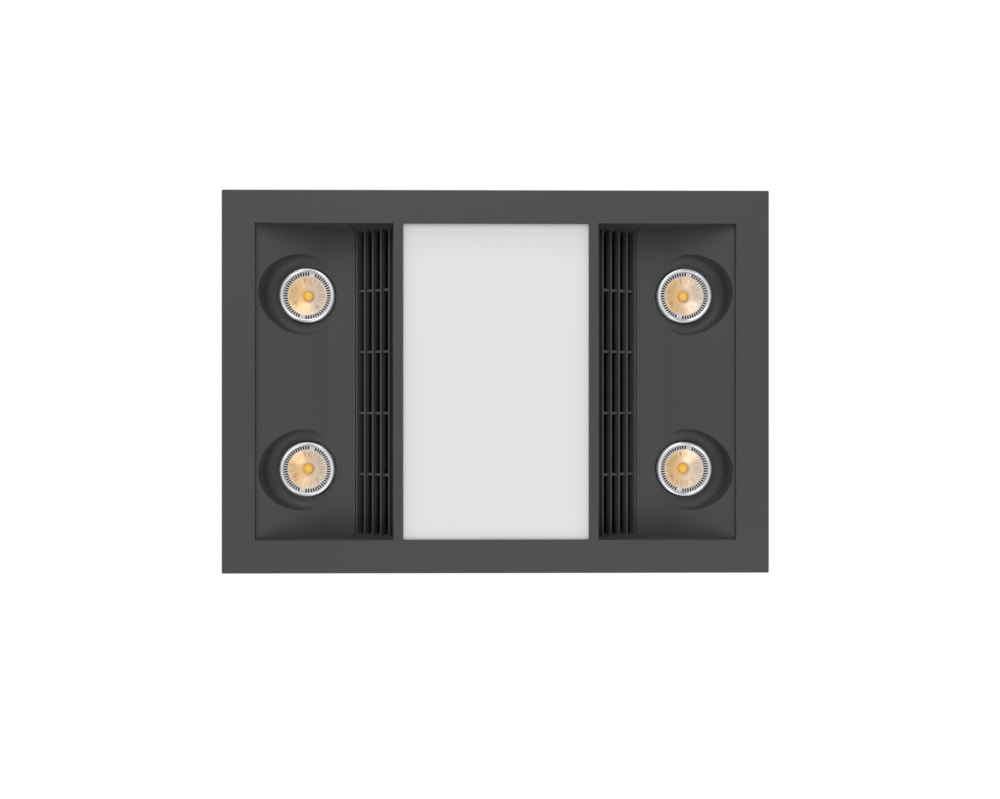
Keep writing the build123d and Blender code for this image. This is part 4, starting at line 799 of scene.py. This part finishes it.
class HEATER_OT_springs(bpy.types.Operator):
    """V springs that hold the fascia up, and their slotted brackets"""

    bl_idname = "heater.springs"
    bl_label = "Fascia springs"

    def execute(self, context):
        look = finish_library()
        dress("spring_brackets", look["galvanised"], context.scene.heater_sizes.fold)
        low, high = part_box("fascia_springs")
        reach = (high.y - low.y) / 2 - 1.8 * MM
        coils = bmesh.new()
        for along in (-SPRING_PLACE, SPRING_PLACE):
            for lean in (-1, 1):
                self.legs(along, lean, reach, look["wire"])
            for side in (-1, 1):
                self.coil(coils, Vector((along, side * reach, 0)))
        bmesh.ops.recalc_face_normals(coils, faces=coils.faces)
        body, slot = body_of_node("fascia_springs")
        finish_piece("spring_coils", coils, [look["wire"]], body, ["fascia_springs"])
        return {"FINISHED"}

    @staticmethod
    def foot(lean):
        """Where a leg leaves its coil, from the coil's centre."""
        return Vector((lean * COIL_RADIUS * cos(LEG_LEAN), lean * MM, -COIL_RADIUS * sin(LEG_LEAN)))

    def coil(self, bm, centre):
        """One coil and a bit, from the foot of one leg to the foot of the other."""
        end = wire_start(bm, SPRING_WIRE, centre + self.foot(-1), (sin(LEG_LEAN), 0, -cos(LEG_LEAN)))
        wire_bend(bm, end, centre, (0, -1, 0), COIL_TURN, 50, -2 * MM)

    def legs(self, along, lean, reach, finish):
        """The front and back springs' legs on one side, which close up as the fascia comes down."""
        way = Vector((lean * sin(LEG_LEAN), 0, cos(LEG_LEAN)))
        inward = Vector((lean * cos(LEG_LEAN), 0, -sin(LEG_LEAN)))
        bm = bmesh.new()
        for side in (-1, 1):
            foot = Vector((along, side * reach, 0)) + self.foot(lean)
            tip = foot + way * LEG_LENGTH
            end = wire_run(bm, wire_start(bm, SPRING_WIRE, foot, way), way * LEG_LENGTH)
            end = wire_bend(bm, end, tip + inward * HOOK_BEND, (0, lean, 0), pi / 2 - LEG_LEAN, 6)
            wire_run(bm, end, (lean * HOOK_LENGTH, 0, 0))
        bmesh.ops.recalc_face_normals(bm, faces=bm.faces)
        name = f"spring_legs_{'left' if along < 0 else 'right'}_{'a' if lean < 0 else 'b'}"
        body, slot = body_of_node("fascia_springs")
        piece = finish_piece(name, bm, [finish], body, [])
        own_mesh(piece)


class HEATER_OT_housing(bpy.types.Operator):
    """Folded steel housing, its roof and the lamp brackets"""

    bl_idname = "heater.housing"
    bl_label = "Housing"

    def execute(self, context):
        look = finish_library()
        fold = context.scene.heater_sizes.fold
        for node in ("housing_walls", "housing_top", "lamp_bracket_left", "lamp_bracket_right"):
            dress(node, look["galvanised"], fold)
        return {"FINISHED"}


class HEATER_OT_fan(bpy.types.Operator):
    """Scroll, bell mouth, wheel and motor of the fan"""

    bl_idname = "heater.fan"
    bl_label = "Fan"

    def execute(self, context):
        dress_all((
            ("fan_scroll", "black", 0.3), ("inlet_ring", "black", 0.3), ("impeller", "galvanised", 0.15),
            ("impeller_blades", "galvanised", 0), ("impeller_shroud", "galvanised", 0.15),
            ("impeller_nut", "brass", 0.3), ("motor_shaft", "screw", 0), ("fan_motor", "enamel", 0.3),
            ("motor_grommets", "rubber", 0.3),
        ))
        return {"FINISHED"}


class HEATER_OT_duct(bpy.types.Operator):
    """Duct spigot with its backdraft flaps, their pin and springs"""

    bl_idname = "heater.duct"
    bl_label = "Duct spigot"

    def execute(self, context):
        look = finish_library()
        dress("duct_spigot", look["white"], 0.3 * MM)
        dress("flap_pin", look["screw"])
        for side in ("left", "right"):
            dress(f"flap_{side}", look["white"], 0.15 * MM)
            self.closing_spring(f"flap_spring_{side}", 1 if side == "right" else -1, look["wire"])
        return {"FINISHED"}

    @staticmethod
    def closing_spring(node, side, finish):
        """Fine coil on the pin, with a leg along the back of its flap."""
        low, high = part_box(node)
        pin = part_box("flap_pin")
        centre = Vector(((pin[0].x + pin[1].x) / 2, (pin[0].y + pin[1].y) / 2, 0))
        reach, wire, turns = 2.1 * MM, 0.45 * MM, 3.5
        start = Vector((high.x if side > 0 else low.x, centre.y + reach, low.z + 0.5 * MM))
        bm = bmesh.new()
        end = wire_start(bm, wire, start, (-side, 0, 0), 8)
        end = wire_run(bm, end, (centre.x - start.x, 0, 0))
        rise = side * (high.z - low.z - 1.0 * MM)
        wire_bend(bm, end, centre, (0, 0, side), turns * 2 * pi, 84, rise)
        bmesh.ops.recalc_face_normals(bm, faces=bm.faces)
        body, slot = body_of_node(node)
        finish_piece(f"{node}_coil", bm, [finish], body, [node])


class HEATER_OT_electrics(bpy.types.Operator):
    """Terminal box, gland, driver and capacitor on the roof"""

    bl_idname = "heater.electrics"
    bl_label = "Electrical parts"

    def execute(self, context):
        dress_all((
            ("terminal_box", "grey", 0.4), ("terminal_cover", "grey", 0.4), ("terminal_block", "nylon", 0.3),
            ("cable_gland", "black", 0.4), ("wire_grommet", "rubber", 0.3), ("led_driver", "white", 0.4),
            ("capacitor", "ivory", 0.2), ("capacitor_clip", "galvanised", 0.2),
        ))
        return {"FINISHED"}


class HEATER_OT_screws(bpy.types.Operator):
    """Screws with cross recesses on the fascia, the motor and the case"""

    bl_idname = "heater.screws"
    bl_label = "Screws"

    def execute(self, context):
        look = finish_library()
        for node in ("fascia_screws", "motor_screws", "case_screws"):
            bm = bmesh.new()
            for points in islands(node):
                self.screw(bm, points)
            body, slot = body_of_node(node)
            finish_piece(f"{node}_crossed", bm, [look["screw"]], body, [node])
        return {"FINISHED"}

    def screw(self, bm, points):
        """One screw in the place of a packed one: its pan head, cross recess and thread."""
        low = Vector([min(p[i] for p in points) for i in range(3)])
        high = Vector([max(p[i] for p in points) for i in range(3)])
        size, middle = high - low, (low + high) / 2
        along = max(range(3), key=lambda i: abs(size[i] - sorted(size)[1]))
        way = Vector([float(i == along) for i in range(3)])
        # height along the axis and distance from it, for each corner
        heights = [(p - middle).dot(way) for p in points]
        radii = [(p - middle - way * height).length for p, height in zip(points, heights)]
        wide = max(radii)
        if sum(height for height, radius in zip(heights, radii) if radius > 0.9 * wide) < 0:
            way, heights = -way, [-height for height in heights]
        rims = [height for height, radius in zip(heights, radii) if radius > 0.9 * wide]
        shank = max(radius for height, radius in zip(heights, radii) if height < min(rims) - WELD)
        seat = middle + way * min(rims)
        head = max(rims) - min(rims)
        made = self.pattern(bm, wide, head, shank, size[along] - head)
        turn = way.to_track_quat("Z", "Y").to_matrix().to_4x4()
        bmesh.ops.transform(bm, matrix=Matrix.Translation(seat) @ turn, verts=made)

    @staticmethod
    def pattern(bm, wide, head, shank, length):
        """A screw at the origin with its head up: radius and height of the head, then of the shank."""
        before = set(bm.verts)
        pitch = 0.7 * shank
        turns = max(2, int((length - 0.6 * shank) / pitch))
        profile = [(0, -length), (0.55 * shank, -length + 0.5 * shank)]
        for turn in range(turns):
            root = -length + 0.6 * shank + turn * (length - 0.6 * shank) / turns
            profile += [(0.76 * shank, root), (shank, root + 0.4 * pitch)]
        profile += [(0.76 * shank, 0), (wide, 0), (wide, 0.42 * head), (0.94 * wide, 0.72 * head),
                    (0.78 * wide, 0.92 * head), (0.6 * wide, head)]
        verts = [bm.verts.new((r, 0, z)) for r, z in profile]
        edges = [bm.edges.new(pair) for pair in zip(verts, verts[1:])]
        bmesh.ops.spin(bm, geom=verts + edges, cent=(0, 0, 0), axis=(0, 0, 1), angle=2 * pi, steps=16,
                       use_merge=True)
        fresh = [v for v in bm.verts if v not in before]
        bmesh.ops.remove_doubles(bm, verts=fresh, dist=1e-7)
        fresh = [v for v in bm.verts if v not in before]
        rim = [e for v in fresh for e in v.link_edges if e.is_boundary]
        arm, slim = 0.48 * wide, 0.12 * wide
        outline = [(arm, -slim), (arm, slim), (slim, slim), (slim, arm), (-slim, arm), (-slim, slim),
                   (-arm, slim), (-arm, -slim), (-slim, -slim), (-slim, -arm), (slim, -arm), (slim, -slim)]
        cross = [bm.verts.new((x, y, head)) for x, y in outline]
        ring = [bm.edges.new(pair) for pair in zip(cross, cross[1:] + cross[:1])]
        bmesh.ops.bridge_loops(bm, edges=list(set(rim)) + ring)
        sunk = bmesh.ops.extrude_edge_only(bm, edges=ring)["geom"]
        floor = of_kind(sunk, bmesh.types.BMVert)
        bmesh.ops.translate(bm, verts=floor, vec=(0, 0, -0.55 * head))
        bmesh.ops.scale(bm, verts=floor, vec=(0.7, 0.7, 1))
        open_edges = [e for e in of_kind(sunk, bmesh.types.BMEdge) if e.is_boundary]
        bmesh.ops.holes_fill(bm, edges=open_edges, sides=0)
        fresh = [v for v in bm.verts if v not in before]
        bmesh.ops.recalc_face_normals(bm, faces=list({f for v in fresh for f in v.link_faces}))
        return fresh


class HEATER_OT_stage(bpy.types.Operator):
    """Pale floor, soft lights, white surroundings and the camera below the heater"""

    bl_idname = "heater.stage"
    bl_label = "Studio"

    def execute(self, context):
        studio = context.scene.heater_studio
        context.scene.view_settings.view_transform = "Standard"
        self.floor(studio)
        self.world(context, studio)
        self.light("key_light", (-0.4, -2.4, -2.1), 2.5, studio.key)
        self.light("low_light", (0.3, 1.8, -2.2), 1.6, studio.low)
        self.light("top_light", (0.9, -0.8, 2.6), 3.2, studio.fill)
        self.camera(context, studio)
        return {"FINISHED"}

    @staticmethod
    def floor(studio):
        """A wide pale floor that isn't part of the heater."""
        bm = bmesh.new()
        bmesh.ops.create_grid(bm, x_segments=8, y_segments=8, size=6.0,
                              matrix=Matrix.Translation((0, 0, studio.floor_height)))
        mesh = bpy.data.meshes.new("studio_floor")
        bm.to_mesh(mesh)
        bm.free()
        finish, tree, shader = new_finish("pale_floor")
        shade = group(tree, "colour_drift", {"Colour": (0.8, 0.8, 0.8, 1), "Amount": 0.02})["Colour"]
        tree.links.new(shade, shader.inputs["Base Color"])
        shader.inputs["Roughness"].default_value = 0.8
        mesh.materials.append(finish)
        floor = bpy.data.objects.new("studio_floor", mesh)
        bpy.context.scene.collection.objects.link(floor)

    @staticmethod
    def world(context, studio):
        """White as a background and in reflections, and softer as a light."""
        world = bpy.data.worlds.new("white_studio")
        context.scene.world = world
        world.use_nodes = True
        tree = world.node_tree
        back = tree.nodes["Background"]
        path = put(tree, "ShaderNodeLightPath").outputs
        seen = arithmetic(tree, "MAXIMUM", path["Is Camera Ray"], path["Is Transmission Ray"])
        seen = arithmetic(tree, "MAXIMUM", seen, path["Is Glossy Ray"])
        level = put(tree, "ShaderNodeMix", {0: seen, 2: studio.surroundings, 3: 1.0}).outputs[0]
        back.inputs["Color"].default_value = (1, 1, 1, 1)
        tree.links.new(level, back.inputs["Strength"])

    @staticmethod
    def light(name, place, size, power):
        """A round soft light that faces the heater and stays out of the picture."""
        data = bpy.data.lights.new(name, "AREA")
        data.shape = "DISK"
        data.size = size
        data.energy = power
        lamp = bpy.data.objects.new(name, data)
        lamp.visible_camera = False
        bpy.context.scene.collection.objects.link(lamp)
        lamp.location = place
        lamp.rotation_euler = (-Vector(place)).to_track_quat("-Z", "Y").to_euler()

    @staticmethod
    def camera(context, studio):
        """The camera straight below the heater, looking up."""
        data = bpy.data.cameras.new("camera")
        data.sensor_width = 36.0
        data.lens = studio.lens
        data.clip_start, data.clip_end = 0.01, 20.0
        camera = bpy.data.objects.new("camera", data)
        context.scene.collection.objects.link(camera)
        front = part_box("fascia_frame")[0].z
        camera.location = (studio.camera_aside, studio.camera_across, front - studio.camera_below)
        camera.rotation_euler = (pi, studio.camera_turn, 0)
        context.scene.camera = camera


OPERATORS = (
    HEATER_OT_stage, HEATER_OT_fascia, HEATER_OT_panel, HEATER_OT_lamps, HEATER_OT_springs,
    HEATER_OT_housing, HEATER_OT_fan, HEATER_OT_duct, HEATER_OT_electrics, HEATER_OT_screws,
)


class HEATER_PT_panel(bpy.types.Panel):
    """Sizes, colours and pieces of the ceiling heater"""

    bl_idname = "HEATER_PT_panel"
    bl_label = "Ceiling Heater"
    bl_space_type = "VIEW_3D"
    bl_region_type = "UI"
    bl_category = "Ceiling Heater"

    def draw(self, context):
        for group_name in SETTINGS:
            settings = getattr(context.scene, group_name)
            column = self.layout.column()
            for name in settings.__annotations__:
                column.prop(settings, name)
        for operator in OPERATORS:
            self.layout.operator(operator.bl_idname)


SETTINGS = {"heater_finish": HeaterFinish, "heater_sizes": HeaterSizes, "heater_studio": HeaterStudio}
CLASSES = (*SETTINGS.values(), *OPERATORS, HEATER_PT_panel)


def register():
    for made in CLASSES:
        bpy.utils.register_class(made)
    for name, made in SETTINGS.items():
        setattr(bpy.types.Scene, name, bpy.props.PointerProperty(type=made))


def unregister():
    for name in SETTINGS:
        delattr(bpy.types.Scene, name)
    for made in reversed(CLASSES):
        bpy.utils.unregister_class(made)


def main():
    """Builds everything in order."""
    register()
    for operator in OPERATORS:
        family, name = operator.bl_idname.split(".")
        getattr(getattr(bpy.ops, family), name)()


if __name__ == "__main__":
    main()
